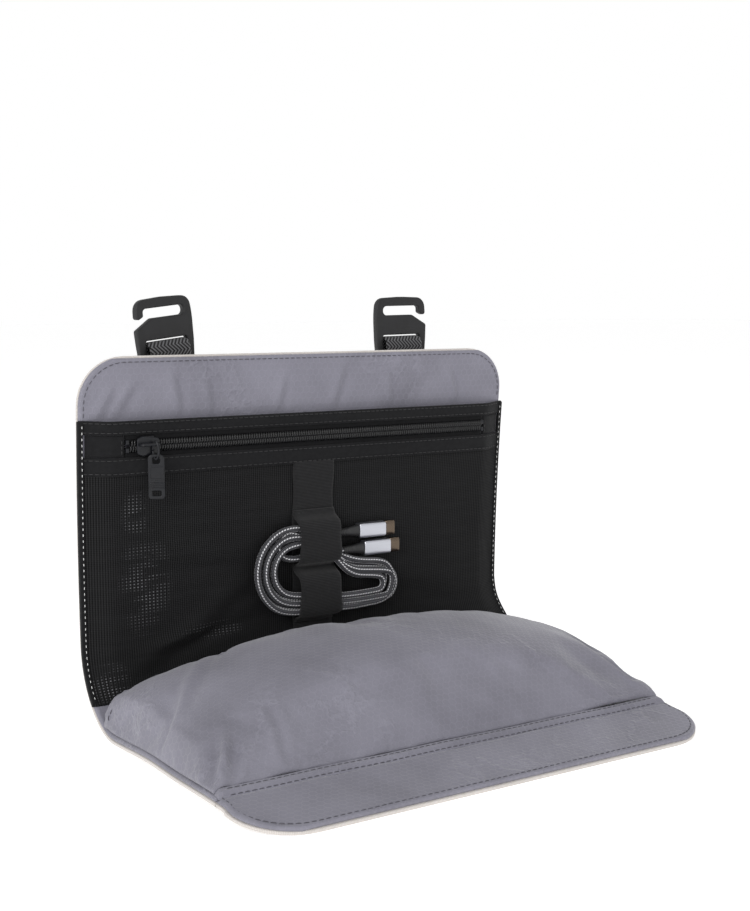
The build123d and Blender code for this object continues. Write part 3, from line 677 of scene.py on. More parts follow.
# ------------------------------------------------------------------ camera, light, floor
def set_camera():
    """The camera at the photograph's angle."""
    camera = link("Camera", bpy.data.cameras.new("Camera"))
    camera.location = (-0.36765, -0.55520, 0.21348)
    aim = Vector((0, 0.0155, 0.100)) - camera.location
    camera.rotation_euler = aim.to_track_quat("-Z", "Y").to_euler()
    camera.data.lens = 53.78
    camera.data.sensor_width = 36
    camera.data.shift_y = 0.0807
    camera.data.clip_start, camera.data.clip_end = 0.01, 50
    bpy.context.scene.camera = camera


def set_light():
    """A white studio: an even bright room, a large soft key from the front left and a weaker top light."""
    scene = bpy.context.scene
    scene.view_settings.view_transform = "Standard"
    scene.view_settings.look = "None"
    world = bpy.data.worlds.new("studio")
    world.use_nodes = True
    tree = world.node_tree
    split = tree.nodes.new("ShaderNodeSeparateXYZ")
    tree.links.new(tree.nodes.new("ShaderNodeTexCoord").outputs["Generated"], split.inputs[0])
    level = tree.nodes.new("ShaderNodeMapRange")
    tree.links.new(split.outputs["Z"], level.inputs["Value"])
    for socket, value in (("From Min", 0.35), ("From Max", 0.95), ("To Min", 1.0), ("To Max", 0.35)):
        level.inputs[socket].default_value = value
    tree.links.new(level.outputs[0], tree.nodes["Background"].inputs["Strength"])
    tree.nodes["Background"].inputs["Color"].default_value = (1.0, 1.0, 1.0, 1)
    scene.world = world
    for name, place, target, size, power in (
        ("key", (-1.8, -1.0, 1.1), (0, 0, 0.08), 1.1, 21.0),
        ("top", (0.3, -0.2, 1.9), (0, 0, 0.0), 1.3, 4.0),
    ):
        light = link(name, bpy.data.lights.new(name, "AREA"))
        light.data.size = size
        light.data.energy = power
        light.location = place
        light.rotation_euler = (Vector(target) - Vector(place)).to_track_quat("-Z", "Y").to_euler()


def set_floor():
    """A plain white floor."""
    reach = 12.0
    p = Paint("floor_white", 0.9, **{"Specular IOR Level": 0.1})
    p.set(p.shader, {"Emission Color": (1, 1, 1, 1), "Emission Strength": 0.385})
    p.done((0.93, 0.93, 0.93))
    corners = [(x * reach, y * reach, 0) for x, y in ((-1, -1), (1, -1), (1, 1), (-1, 1))]
    floor = shape("floor", corners, [(0, 1, 2, 3)], p.material)


set_camera()
set_light()
set_floor()
for part in frame["record"]["subparts"]:
    node = frame["nodes"][part["node"]]
    node.data.materials.clear()
    node.data.materials.append(SLOT_LOOKS[part["material_slot"]])


# ------------------------------------------------------------------ charging cable
CABLE_D = 3.5 * MM
COIL_LOW, COIL_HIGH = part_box("cable_coil")
CABLE_Y = (COIL_LOW.y + COIL_HIGH.y) / 2
BOOT_IN = {k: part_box(f"cable_boot_{k}")[0].x for k in ("upper", "lower")}
PLUG_Z = {k: sum(v.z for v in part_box(f"cable_plug_{k}")) / 2 for k in ("upper", "lower")}


def cable_route():
    """The wound cable's points: out of the upper boot, five turns of the bundle, back into the lower boot.
    Each turn is a round left lobe, a run under the strap's lower loop, a flat right lobe and a run back."""
    lobe_x, lobe_z = -14.0 * MM, 70.6 * MM
    # Each turn, in millimetres: its left radius, right end, lowest and highest runs, and layer in depth
    radii = (23.4, 20.9, 18.5, 16.0, 13.6)
    ends = (48.5, 52.3, 49.6, 45.5, 42.0)
    lows = (47.3, 47.9, 50.4, 51.2, 54.0)
    tops = (71.2, 66.4, 64.9, 69.0, 62.2)
    layers = (-1.72, 1.72, -1.72, 1.72, -1.72)
    route = [(BOOT_IN["upper"] + 1.0 * MM, CABLE_Y, PLUG_Z["upper"]), (7 * MM, CABLE_Y, PLUG_Z["upper"])]
    route.append((0.0, CABLE_Y - 0.8 * MM, PLUG_Z["upper"] + 2.4 * MM))
    for turn, (radius, end, low, top, layer) in enumerate(zip(radii, ends, lows, tops, layers)):
        y = CABLE_Y + layer * MM
        r = radius * MM * 1.04
        for angle in (100, 130, 160, 190, 220, 250):
            a = math.radians(angle + 1.5 * math.sin(turn * 2.1))
            route.append((lobe_x + r * math.cos(a), y, lobe_z + r * math.sin(a)))
        floor = lobe_z - radius * MM
        route.append((-3 * MM, y, floor * 0.6 + low * MM * 0.4))
        route.append((9 * MM, y, low * MM))
        route.append((22 * MM, y, (low - 0.6) * MM))
        tall = top - low
        route.append(((end - 0.9 * tall) * MM, y, (low - 0.2) * MM))
        for angle in (-62, -32, 0, 32, 62):
            a = math.radians(angle)
            across = end - 0.55 * tall * (1 - math.cos(a)) - 0.2
            route.append((across * MM, y, (low + tall / 2 * (1 + 1.08 * math.sin(a))) * MM))
        route.append(((end - 0.9 * tall) * MM, y, (top + 0.9) * MM))
        route.append((20 * MM, y, (top + 2.6) * MM))
        following = -layer * MM if turn < 4 else 0.0
        route.append((11 * MM, CABLE_Y + following, (78.0 - turn * 0.6) * MM))
        route.append((0.0, CABLE_Y + following, (86.6 - turn * 0.5) * MM))
    u_x, u_z, u_r = -17.0 * MM, 84.2 * MM, 7.6 * MM
    for angle in (80, 125, 170, 215, 260):
        a = math.radians(angle)
        route.append((u_x + u_r * math.cos(a), CABLE_Y, u_z + u_r * math.sin(a)))
    for x, z in ((-8, 76.8), (0, 78.2), (9, 78.6)):
        route.append((x * MM, CABLE_Y, z * MM))
    route.append((BOOT_IN["lower"] + 1.0 * MM, CABLE_Y, PLUG_Z["lower"]))
    return route


def smooth_line(name, points, steps=12):
    """The points that a smooth curve through a route's control points follows."""
    curve = bpy.data.curves.new(name, "CURVE")
    curve.dimensions = "3D"
    curve.resolution_u = steps
    spline = curve.splines.new("NURBS")
    spline.points.add(len(points) - 1)
    for place, point in zip(spline.points, points):
        place.co = (*point, 1)
    spline.order_u = 3
    spline.use_endpoint_u = True
    holder = link(name, curve)
    mesh = final_mesh(holder)
    line = np.array([v.co for v in mesh.vertices])
    bpy.data.objects.remove(holder)
    bpy.data.meshes.remove(mesh)
    return line


def tube(name, line, radius, material, sides=16):
    """A round tube along a line, its UVs running once round and along it in metres."""
    tangent = tangents(line)
    normal = np.zeros_like(line)
    start = np.cross(tangent[0], (0.31, 0.9, 0.3))
    normal[0] = start / np.linalg.norm(start)
    for i in range(1, len(line)):
        carried = normal[i - 1] - tangent[i] * np.dot(normal[i - 1], tangent[i])
        normal[i] = carried / np.linalg.norm(carried)
    side = np.cross(tangent, normal)
    a = np.linspace(0, 2 * math.pi, sides + 1)
    ring = np.cos(a)[None, :, None] * normal[:, None] + np.sin(a)[None, :, None] * side[:, None]
    uv = np.stack(np.broadcast_arrays(a[None] / 2 / math.pi, travelled(line)[:, None]), -1)
    made = skin(name, line[:, None] + ring * radius, material, uv, closed=False)
    with edited(made.data) as bm:
        bmesh.ops.remove_doubles(bm, verts=bm.verts, dist=1e-6)
        bmesh.ops.holes_fill(bm, edges=[e for e in bm.edges if e.is_boundary], sides=0)
    return outward(made)


def loft(name, material, stations, centre, power=4.0, count=48):
    """A body along X through rounded sections: each station is (x, half depth, half height)."""
    cu, sv = squarish(np.linspace(0, 2 * math.pi, count, endpoint=False), 2 / power)
    rows = [
        np.stack((np.full(count, x), centre[0] + ry * cu, centre[1] + rz * sv), -1) for x, ry, rz in stations
    ]
    return outward(skin(name, np.array(rows), material))


def make_plug(level):
    """One plug of the cable: its rubber boot, aluminium housing and steel tip."""
    pieces = []
    low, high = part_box(f"cable_boot_{level}")
    centre = (CABLE_Y, PLUG_Z[level])
    x0, x1 = low.x, high.x
    boot = [(x0, 1.3, 1.3), (x0 + 0.1 * MM, 1.9, 1.9), (x0 + 0.8 * MM, 2.05, 2.05)]
    for rib in range(5):
        x, grow = x0 + (1.2 + rib * 1.1) * MM, rib * 0.06
        for ahead, girth in ((0, 2.05), (0.15, 1.85), (0.5, 1.85), (0.65, 2.1)):
            boot.append((x + ahead * MM, girth + grow, girth + grow))
    boot += [(x0 + 8.2 * MM, 2.45, 2.5), (x1 - 1.2 * MM, 2.68, 3.1), (x1, 2.66, 3.4)]
    boot = [(x, a * MM, b * MM) for x, a, b in boot]
    pieces.append(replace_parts(loft(f"boot_{level}", boot_mat, boot, centre, 2.3), f"cable_boot_{level}"))
    low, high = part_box(f"cable_plug_{level}")
    x0, x1, ry, rz = low.x, high.x, (high.y - low.y) / 2, (high.z - low.z) / 2
    shell = [(x0, 0.80, 0.84), (x0 + 0.25 * MM, 0.95, 0.96), (x0 + 0.7 * MM, 1, 1), (x1 - 0.6 * MM, 1, 1)]
    shell += [(x1 - 0.2 * MM, 0.96, 0.97), (x1, 0.88, 0.90), (x1 - 0.02 * MM, 0.56, 0.80)]
    shell = [(x, a * ry, b * rz) for x, a, b in shell]
    pieces.append(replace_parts(loft(f"plug_{level}", plug_mat, shell, centre, 5.0), f"cable_plug_{level}"))
    low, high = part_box(f"cable_tip_{level}")
    x0, x1, ry, rz = low.x, high.x, (high.y - low.y) / 2, (high.z - low.z) / 2
    tip = [(x0, 1, 1), (x1 - 0.35 * MM, 1, 1), (x1 - 0.1 * MM, 0.94, 0.98), (x1, 0.86, 0.955)]
    tip += [(x1 - 0.05 * MM, 0.74, 0.92), (x1 - 4.6 * MM, 0.70, 0.90), (x1 - 4.7 * MM, 0.26, 0.72)]
    tip += [(x1 - 1.0 * MM, 0.26, 0.72), (x1 - 0.8 * MM, 0.20, 0.70)]
    tip = [(x, a * ry, b * rz) for x, a, b in tip]
    pieces.append(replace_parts(loft(f"tip_{level}", tip_mat, tip, centre, 3.2), f"cable_tip_{level}"))
    for piece in pieces:
        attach(piece, "back")
    return pieces


plug_pieces = make_plug("upper") + make_plug("lower")
cable_line = smooth_line("cable_route", cable_route())
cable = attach(tube("cable", cable_line, CABLE_D / 2, braid_mat), "back")
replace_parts(cable, "cable_coil")


# ------------------------------------------------------------------ case sheet
EDGE_INSET = 0.85 * MM  # the flap's layers end just inside its bound edge


def over_fold(piece):
    """A piece that runs from the base over the rolled fold onto the back panel."""
    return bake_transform(piece)


def gives_way(piece):
    """A piece of the filled pouch, given its own copy of its mesh; the closing panel would press it down."""
    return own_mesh(piece)


def panel_stitches(name, path, depth, length, pitch, **kw):
    """Black stitches that ride on the back panel, their length and pitch in millimetres."""
    made = sheet_thread(name, black_thread, path, depth, length=length * MM, pitch=pitch * MM, **kw)
    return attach(made, "back")


def sheet_rows(start, end):
    """Rows along the sheet: closer together on the fold."""
    ends = [v for v in (BASE_RUN - 2 * MM, BASE_RUN + FOLD_RUN + 2 * MM) if start < v < end]
    stops = [start, *ends, end]
    rows = []
    for a, b in zip(stops, stops[1:]):
        step = 1.8 * MM if a >= BASE_RUN - 3 * MM and b <= BASE_RUN + FOLD_RUN + 3 * MM else 3.0 * MM
        rows += list(np.linspace(a, b, max(3, int((b - a) / step)))[:-1])
    return np.array([start, start + 0.3 * MM, *rows[1:], end - 0.3 * MM, end])


def case_half(s):
    """Half the case's width, narrowing round the upper corners."""
    past = np.clip(np.asarray(s) - (FULL_RUN - CORNER_R), 0, CORNER_R)
    return LINING_REACH - CORNER_R + np.sqrt(np.maximum(CORNER_R**2 - past**2, 0))


def corner_rows(start, end):
    """Rows that end at the top edge, closer together round its corners."""
    a = np.linspace(0, math.pi / 2, 16)
    turn = end - CORNER_R + CORNER_R * np.sin(a)
    rows = sheet_rows(start, end - CORNER_R)[:-2]
    return np.r_[rows, turn[:-1], end - 0.05 * MM]


def rumple(seed, size, tall, flat=0.0):
    """A smooth random height over (x, s), the same every run; flat=1 leaves it the same along s."""
    rng = np.random.default_rng(SEED + seed)
    waves = []
    for _ in range(9):
        waves.append((rng.uniform(0.5, 1.6) / size, rng.uniform(0, 2 * math.pi), rng.uniform(0, 6.3)))

    def height(x, s):
        total = 0
        for rate, heading, phase in waves:
            place = x * math.cos(heading) + s * math.sin(heading) * (1 - flat)
            total = total + np.sin(2 * math.pi * rate * place + phase)
        return total / len(waves) * tall

    return height


# Loose folds above the pocket: place across, lean, start and end below the top edge, height and width
TOP_FOLDS = tuple(
    ((x, FULL_RUN - a), (x + lean, FULL_RUN - b), 1.7 * high * MM, wide * MM)
    for x, lean, a, b, high, wide in (
        (-0.122, 0.010, 0.030, 0.014, 0.5, 2.6),
        (-0.114, 0.014, 0.030, 0.010, 0.5, 3.0),
        (-0.076, -0.006, 0.031, 0.006, 0.8, 2.4),
        (-0.058, -0.005, 0.030, 0.010, 0.7, 2.0),
        (-0.020, 0.004, 0.031, 0.008, 0.6, 2.4),
        (0.014, 0.006, 0.030, 0.006, 0.7, 2.6),
        (0.052, -0.003, 0.031, 0.012, 0.6, 2.2),
        (0.098, -0.008, 0.030, 0.010, 0.8, 2.4),
    )
)
lining_wave = rumple(1, 0.05, 0.5 * MM, 0.75)


def top_height(x, s):
    """Height of the lining's face: flat, with loose folds on the band above the pocket."""
    loose = lining_wave(x, s) + sum(crease(x, s, *c) for c in TOP_FOLDS)
    inside = ramp(FULL_RUN - 0.034, FULL_RUN - 0.028, s) * ramp(FULL_RUN - 1 * MM, FULL_RUN - 5 * MM, s)
    return SHEET + loose * inside


case_rows = corner_rows(0.0, FULL_RUN - 0.8 * MM)
case_shell = band(
    "case_shell", shell_mat, case_rows, 0.0, SHELL_TOP, case_half, rounding=LAYER_ROUND, cols=80
)
case_lining = band(
    "case_lining", lining_mat, case_rows, LINING_UNDER, top_height, case_half, rounding=LAYER_ROUND, cols=170
)
case_rim = rim("case_rim", rim_mat, sheet_outline(RIM_HALF))
for piece in (case_shell, case_lining, case_rim):
    over_fold(piece)
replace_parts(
    case_shell,
    "base_shell", "fold_shell", "back_shell", "base_foam", "fold_foam", "back_foam", "back_magnets",
)
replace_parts(case_lining, "base_lining", "fold_lining", "back_lining")

flap_front, flap_back = -FLAP_RUN + EDGE_INSET, -0.2 * MM
flap_straight = np.linspace(-1.0 * MM, FLAP_CORNER - FLAP_RUN, 8)[:-1]
flap_turn = FLAP_CORNER - FLAP_RUN - FLAP_CORNER * np.sin(np.linspace(0, math.pi / 2, 16))[:-1]
flap_rows = np.unique(np.clip(np.r_[flap_front, flap_turn, flap_straight, flap_back], flap_front, flap_back))
flap_wave = rumple(2, 0.040, 0.9 * MM, 0.2)
flap_shell = band(
    "flap_shell_skin", shell_mat, flap_rows, 0.1 * MM, SHELL_TOP,
    lambda s: flap_half(s) - 0.8 * MM, rounding=LAYER_ROUND,
)
flap_lining = band(
    "flap_lining_skin", lining_mat, flap_rows, LINING_UNDER,
    lambda x, s: SHEET + flap_wave(x, s) * ramp(-FLAP_RUN, -FLAP_RUN + 0.008, s),
    lambda s: flap_half(s) - 0.3 * MM, rounding=LAYER_ROUND, cols=120,
)
flap_rim = rim("flap_rim", rim_mat, flap_outline(RIM_HALF))
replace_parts(flap_shell, "flap_shell", "flap_foam", "flap_magnets")
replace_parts(flap_lining, "flap_lining")

# Topstitching: the panel's top band, the flap, and the same rows on the outside
top_path = sheet_outline(2.6 * MM, run_at(157.0 * MM))
stitch_top = sheet_thread("stitch_top_band", grey_thread, top_path, SHEET + 0.10 * MM)
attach(stitch_top, "back")
outside_path = sheet_outline(2.8 * MM, 4 * MM)
stitch_out = sheet_thread("stitch_case_outside", cream_thread, outside_path, -0.05 * MM, out=1)
over_fold(stitch_out)
stitch_flap = sheet_thread("stitch_flap", grey_thread, flap_outline(2.8 * MM), SHEET + 0.10 * MM)
stitch_flap_out = sheet_thread("stitch_flap_outside", cream_thread, flap_outline(2.8 * MM), 0.1 * MM, out=1)
for piece in (flap_shell, flap_lining, flap_rim, stitch_flap, stitch_flap_out):
    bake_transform(piece)


# ------------------------------------------------------------------ front seam
def seam_ridge():
    """The rolled seam in front of the pouch: two rounded folds, with a stitched valley at each side."""
    half = HALF - 1.2 * MM
    x = np.linspace(-half, half, 150)
    foot = 7.4
    profile = [  # (back from the seam, height) in millimetres
        (3.2, 8.6), (3.4, 10.4), (3.1, 11.6), (2.3, 12.25), (1.5, 12.1), (1.05, 11.55), (0.6, 11.75),
        (0.0, 11.9),
        (-0.7, 11.5), (-1.3, 10.7), (-1.75, 9.7), (-2.3, 8.95), (-3.0, 8.3), (-3.0, foot), (3.2, foot),
    ]
    wobble = rumple(3, 0.045, 0.35 * MM, 1.0)(x, 0 * x)
    ring = np.array(profile) * MM
    grid = np.zeros((len(x), len(ring), 3))
    ends = np.sqrt(1 - (1 - np.clip((half - np.abs(x)) / (3 * MM), 0.02, 1)) ** 2)
    grid[..., 0] = x[:, None]
    grid[..., 1] = SEAM_Y + 1.0 * MM + ring[None, :, 0] + wobble[:, None]
    grid[..., 2] = foot * MM + (ring[None, :, 1] - foot * MM) * 0.8 * ends[:, None] + 0.5 * wobble[:, None]
    uv = np.stack(np.broadcast_arrays(x[:, None], np.linspace(0, 14 * MM, len(ring))[None]), -1)
    made = outward(skin("front_seam_ridge", grid, pouch_mat, uv))
    made.modifiers.new("Smooth", "SUBSURF").levels = 1
    return bake(made), x, wobble


seam, seam_x, seam_wobble = seam_ridge()
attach(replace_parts(seam, "front_seam"), "base")
for name, offset, height in (("stitch_seam_rear", 0.9, 10.95), ("stitch_seam_front", -2.1, 9.05)):
    back = SEAM_Y + (1.0 + offset) * MM + seam_wobble
    points = np.stack((seam_x, back, height * MM + 0.5 * seam_wobble), -1)[3:-3]
    up = np.tile((0, -0.35, 0.94), (len(points), 1))
    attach(thread(name, grey_thread, points, up), "base")


# ------------------------------------------------------------------ headphone pouch
POUCH_HALF = POUCH_HIGH.x
POUCH_FRONT = SEAM_HIGH.y - 0.5 * MM
POUCH_REAR = POUCH_HIGH.y
CROWN = POUCH_HIGH.z
POUCH_START = 11.0 * MM  # height of its front end, over the seam
LEFT_EDGE = 20.5 * MM
RIGHT_EDGE = 29.0 * MM
WALL = 2.2 * MM
INNER_HALF = POUCH_HALF - 1.6 * MM
POUCH_FOLDS = (
    ((-0.124, POUCH_FRONT + 0.001), (-0.108, POUCH_FRONT + 0.026), 3.0 * MM, 2.6 * MM),
    ((-0.118, -0.002), (-0.092, 0.030), 1.2 * MM, 3.0 * MM),
    ((-0.110, 0.012), (-0.075, 0.050), 1.0 * MM, 3.5 * MM),
    ((-0.095, POUCH_FRONT + 0.004), (-0.088, POUCH_FRONT + 0.026), 0.8 * MM, 2.6 * MM),
    ((0.118, POUCH_FRONT + 0.004), (0.104, POUCH_FRONT + 0.034), 0.9 * MM, 3.0 * MM),
)


def grown(v, sharpness):
    """How far the pouch has climbed from its front seam: 0 at the seam, 1 over its crown."""
    return np.sqrt(np.maximum(1 - np.clip(1 - v / 0.83, 0, 1) ** sharpness, 0))


def pouch_row(v, count):
    """One cross-section of the filled pouch, its points evenly spaced from the left seam to the right."""
    y = POUCH_FRONT + v * (POUCH_REAR - POUCH_FRONT)
    u = np.sin(np.linspace(-math.pi / 2, math.pi / 2, 900))
    left = u < 0
    x = u * np.where(left, HALF - 0.9 * MM, POUCH_HALF + 0.6 * MM)
    y = y + 8.0 * MM * v**2 * ramp(-0.060, -0.127, x)
    foot = wrap(x, y - SEAM_Y, SHEET + 0.2 * MM)[:, 2]
    mouth = 5.0 * MM * np.clip((v - 0.78) / 0.22, 0, 1) ** 2
    crown = POUCH_START + (CROWN - POUCH_START) * grown(v, 2.6) - mouth
    edge = POUCH_START + (np.where(left, LEFT_EDGE, RIGHT_EDGE) - POUCH_START) * grown(v, 1.9) - mouth * 0.5
    top = edge + (crown - edge) * (1 - np.abs(u) ** np.where(left, 2.15, 2.4))
    corner_r = np.where(left, 8.0 * MM, 10.0 * MM)
    past = np.clip((np.abs(x) - (np.abs(x).max() - corner_r)) / corner_r, 0, 1)
    z = foot + np.maximum(top - foot, 1.0 * MM) * np.sqrt(1 - past**2)
    z = z + sum(crease(x, y, *c) for c in POUCH_FOLDS) * (1 - past**4)
    return resample(np.stack((x, y, z), -1), count=count)[0]


def pouch_surface(rows=56, cols=132):
    """The filled pouch's outer surface as a grid, closer together where it climbs from the front seam."""
    v = np.linspace(0, 1, rows) ** 1.35
    return np.array([pouch_row(x, cols) for x in v])


def simulate(grid, excess, pressure, frames_run, cap):
    """Let the sewn fabric settle over its filling: pinned at its seams, inflated, with some cloth to spare,
    and moved no further than a cap."""
    rows, cols = grid.shape[:2]
    blank = bpy.data.materials.new("simulated")
    holder = skin("simulated_cloth", grid, blank, closed=False)
    pinned = holder.vertex_groups.new(name="pin")
    index = np.arange(rows * cols).reshape(rows, cols)
    edge = np.unique(np.r_[index[0], index[:, 0], index[:, -1]]).tolist()
    pinned.add(edge, 1.0, "ADD")
    pinned.add(index[-1][1:-1].tolist(), 0.35, "ADD")
    cloth_mod = holder.modifiers.new("Cloth", "CLOTH")
    rules = cloth_mod.settings
    rules.quality = 6
    rules.mass = 0.25
    rules.tension_stiffness = rules.compression_stiffness = 18
    rules.shear_stiffness = 6
    rules.bending_stiffness = 0.6
    rules.vertex_group_mass = "pin"
    rules.pin_stiffness = 0.6
    rules.shrink_min = -excess
    rules.use_pressure = True
    rules.uniform_pressure_force = pressure
    rules.effector_weights.gravity = 0
    rules.tension_damping = rules.compression_damping = 12
    scene = bpy.context.scene
    cloth_mod.point_cache.frame_start, cloth_mod.point_cache.frame_end = 1, frames_run
    for step in range(1, frames_run + 1):
        scene.frame_set(step)
    graph = bpy.context.evaluated_depsgraph_get()
    mesh = holder.evaluated_get(graph).data
    co = np.zeros(len(mesh.vertices) * 3)
    mesh.vertices.foreach_get("co", co)
    bpy.data.objects.remove(holder)
    scene.frame_set(1)
    moved = co.reshape(rows, cols, 3) - grid
    size = np.linalg.norm(moved, axis=-1, keepdims=True)
    moved = moved / np.maximum(size, 1e-9) * cap * np.tanh(size / cap)
    return grid + moved


def surface_normals(grid):
    """Unit normals of a grid of points."""
    along = np.gradient(grid, axis=0)
    across = np.gradient(grid, axis=1)
    return unit(np.cross(across, along))


def make_pouch():
    """The pouch as one fabric dome with its wall, open at its rear mouth; the mouth's bound hem is made
    separately.
    """
    surface = pouch_surface()
    surface = simulate(surface, 0.03, 1.2, 20, 4.0 * MM)
    normals = surface_normals(surface)
    if normals[len(normals) // 2, normals.shape[1] // 2, 2] < 0:
        normals = -normals
    inner = surface - normals * WALL
    inner[..., 2] = np.maximum(inner[..., 2], SHEET + 0.3 * MM)
    inner[..., 0] = np.clip(inner[..., 0], -INNER_HALF, INNER_HALF)
    along = np.array([travelled(row) for row in surface])
    along = along - along[:, -1:] / 2
    down = travelled(surface[:, surface.shape[1] // 2])
    uv = np.stack((along, np.repeat(down[:, None], surface.shape[1], 1)), -1)
    grid = np.concatenate((surface, inner[:, ::-1]), 1)
    uv = np.concatenate((uv, uv[:, ::-1]), 1)
    pouch = outward(skin("pouch", grid, pouch_mat, uv, caps=False))
    close_ends(pouch, grid.shape)
    pouch.modifiers.new("Smooth", "SUBSURF").levels = 1
    bake(outward(pouch))
    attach(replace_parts(pouch, "headphone_pouch"), "base")
    gives_way(pouch)
    return surface


def close_ends(obj, size):
    """Close the front end and the mouth's edge of a double-walled grid with strips between its two walls."""
    rows, ring = size[:2]
    cols = ring // 2
    with edited(obj.data) as bm:
        bm.verts.ensure_lookup_table()
        uv = bm.loops.layers.uv.active
        for base in (0, (rows - 1) * ring):
            for i in range(cols - 1):
                face = bm.faces.new([bm.verts[base + k] for k in (i, i + 1, ring - 2 - i, ring - 1 - i)])
                face.smooth = True
                for loop in face.loops:
                    loop[uv].uv = (loop.vert.co.x, loop.vert.co.y)


pouch_skin = make_pouch()


def make_hem():
    """The bound edge of the pouch's mouth: a folded tape all along it."""
    line, _ = resample(pouch_skin[-1], 2.0 * MM)
    line = line[line[:, 2] > SHEET + 2 * MM]
    back = np.tile((0.0, 1.0, 0.0), (len(line), 1))
    out = unit(np.cross(tangents(line), back))
    out = np.where(out[:, 2:3].mean() < 0, -out, out)
    a = np.linspace(0, 2 * math.pi, 16, endpoint=False)
    u, v = squarish(a, 0.6)
    u, v = 1.55 * MM * u, 3.6 * MM * v
    centre = line - out * (WALL / 2) - back * 2.6 * MM
    grid = centre[:, None] + out[:, None] * u[None, :, None] + back[:, None] * v[None, :, None]
    uv = np.stack(np.broadcast_arrays(np.arange(len(line))[:, None] * 2 * MM, (a * 2 * MM)[None]), -1)
    hem = outward(skin("pouch_hem_binding", grid, lining_mat, uv))
    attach(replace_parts(hem, "pouch_hem"), "base")
    gives_way(hem)
    return centre, out


hem_line, hem_out = make_hem()
hem_path = hem_line + hem_out * 1.6 * MM - np.array([0, 2.4 * MM, 0])
stitch_hem = thread("stitch_hem", grey_thread, hem_path[2:-2], hem_out[2:-2])
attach(stitch_hem, "base")
gives_way(stitch_hem)


# ------------------------------------------------------------------ mesh pocket, facings and zip
def stand(x, full):
    """Depth of a layer on the pocket: full over the middle, drawn down to the lining at both sides."""
    return MESH_EDGE + (full - MESH_EDGE) * ramp(MESH_HALF + 1 * MM, MESH_HALF - 17 * MM, np.abs(x))


net_wave = rumple(4, 0.07, 1.1 * MM, 0.2)
NET_BOTTOM = BASE_RUN + 0.030
NET_FOLDS = (
    ((-0.120, BASE_RUN + 0.036), (-0.030, BASE_RUN + 0.100), 1.9 * MM, 5.5 * MM),
    ((-0.110, BASE_RUN + 0.056), (-0.020, BASE_RUN + 0.082), 1.3 * MM, 4.0 * MM),
    ((-0.095, BASE_RUN + 0.112), (-0.035, BASE_RUN + 0.106), 1.0 * MM, 5.0 * MM),
    ((0.040, BASE_RUN + 0.090), (0.115, BASE_RUN + 0.070), 0.8 * MM, 6.0 * MM),
)
LOWER_LOW, LOWER_HIGH = (v.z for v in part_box("lower_facing"))
UPPER_LOW, UPPER_HIGH = (v.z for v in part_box("upper_facing"))
TAPE_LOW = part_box("zip_tape_lower")[0].z
TAPE_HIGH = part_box("zip_tape_upper")[1].z
ZIP_LOW, ZIP_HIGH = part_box("zip_coil_lower")[0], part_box("zip_coil_upper")[1]
ZIP_Z = (ZIP_LOW.z + ZIP_HIGH.z) / 2


def net_depth(x, s):
    """The mesh stands off the lining, sags a little, and closes down to the lining at its bottom edge.
    At the right it leaves the fold and runs straight towards the pouch."""
    open_up = ramp(NET_BOTTOM - 1 * MM, NET_BOTTOM + 0.034, s)
    loose = ramp(run_at(LOWER_LOW), run_at(LOWER_LOW) - 0.02, s)
    depth = stand(x, MESH_DEPTH - 0.1 * MM) * open_up + (1 - open_up) * MESH_EDGE
    off_fold = ramp(BASE_RUN + 0.076, BASE_RUN + 0.040, s) * ramp(NET_BOTTOM - 1 * MM, NET_BOTTOM + 0.010, s)
    depth = depth + 9.5 * MM * off_fold * ramp(HALF * 0.5, HALF, x)
    inside = open_up * loose * ramp(MESH_HALF, MESH_HALF - 0.015, np.abs(x))
    return depth + (net_wave(x, s) + sum(crease(x, s, *c) for c in NET_FOLDS)) * inside


net_rows = sheet_rows(NET_BOTTOM, run_at(LOWER_LOW + 2 * MM))
net_piece = band(
    "mesh_net", net_mat, net_rows, lambda x, s: net_depth(x, s) - 0.7 * MM, net_depth,
    MESH_HALF, rounding=0.3 * MM, cols=130,
)
over_fold(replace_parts(net_piece, "mesh_pocket"))


def bound_strip(name, node, material, low, high, depth, thick, half, centre=0.0, wave=0.0, **kw):
    """A flat strip across the pocket between two heights, in place of a CAD node."""
    rows = np.linspace(run_at(low), run_at(high), max(4, int((high - low) / (1.6 * MM))))
    rows = np.r_[rows[0], rows[0] + 0.2 * MM, rows[1:-1], rows[-1] - 0.2 * MM, rows[-1]]
    seed = sum(ord(letter) * (i + 1) for i, letter in enumerate(name)) % 1000
    swell = rumple(seed, 0.06, wave)

    def top(x, s):
        return stand(x, depth) + swell(x, s)

    made = band(name, material, rows, lambda x, s: top(x, s) - thick, top, half, centre, **kw)
    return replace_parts(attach(made, "back"), node)


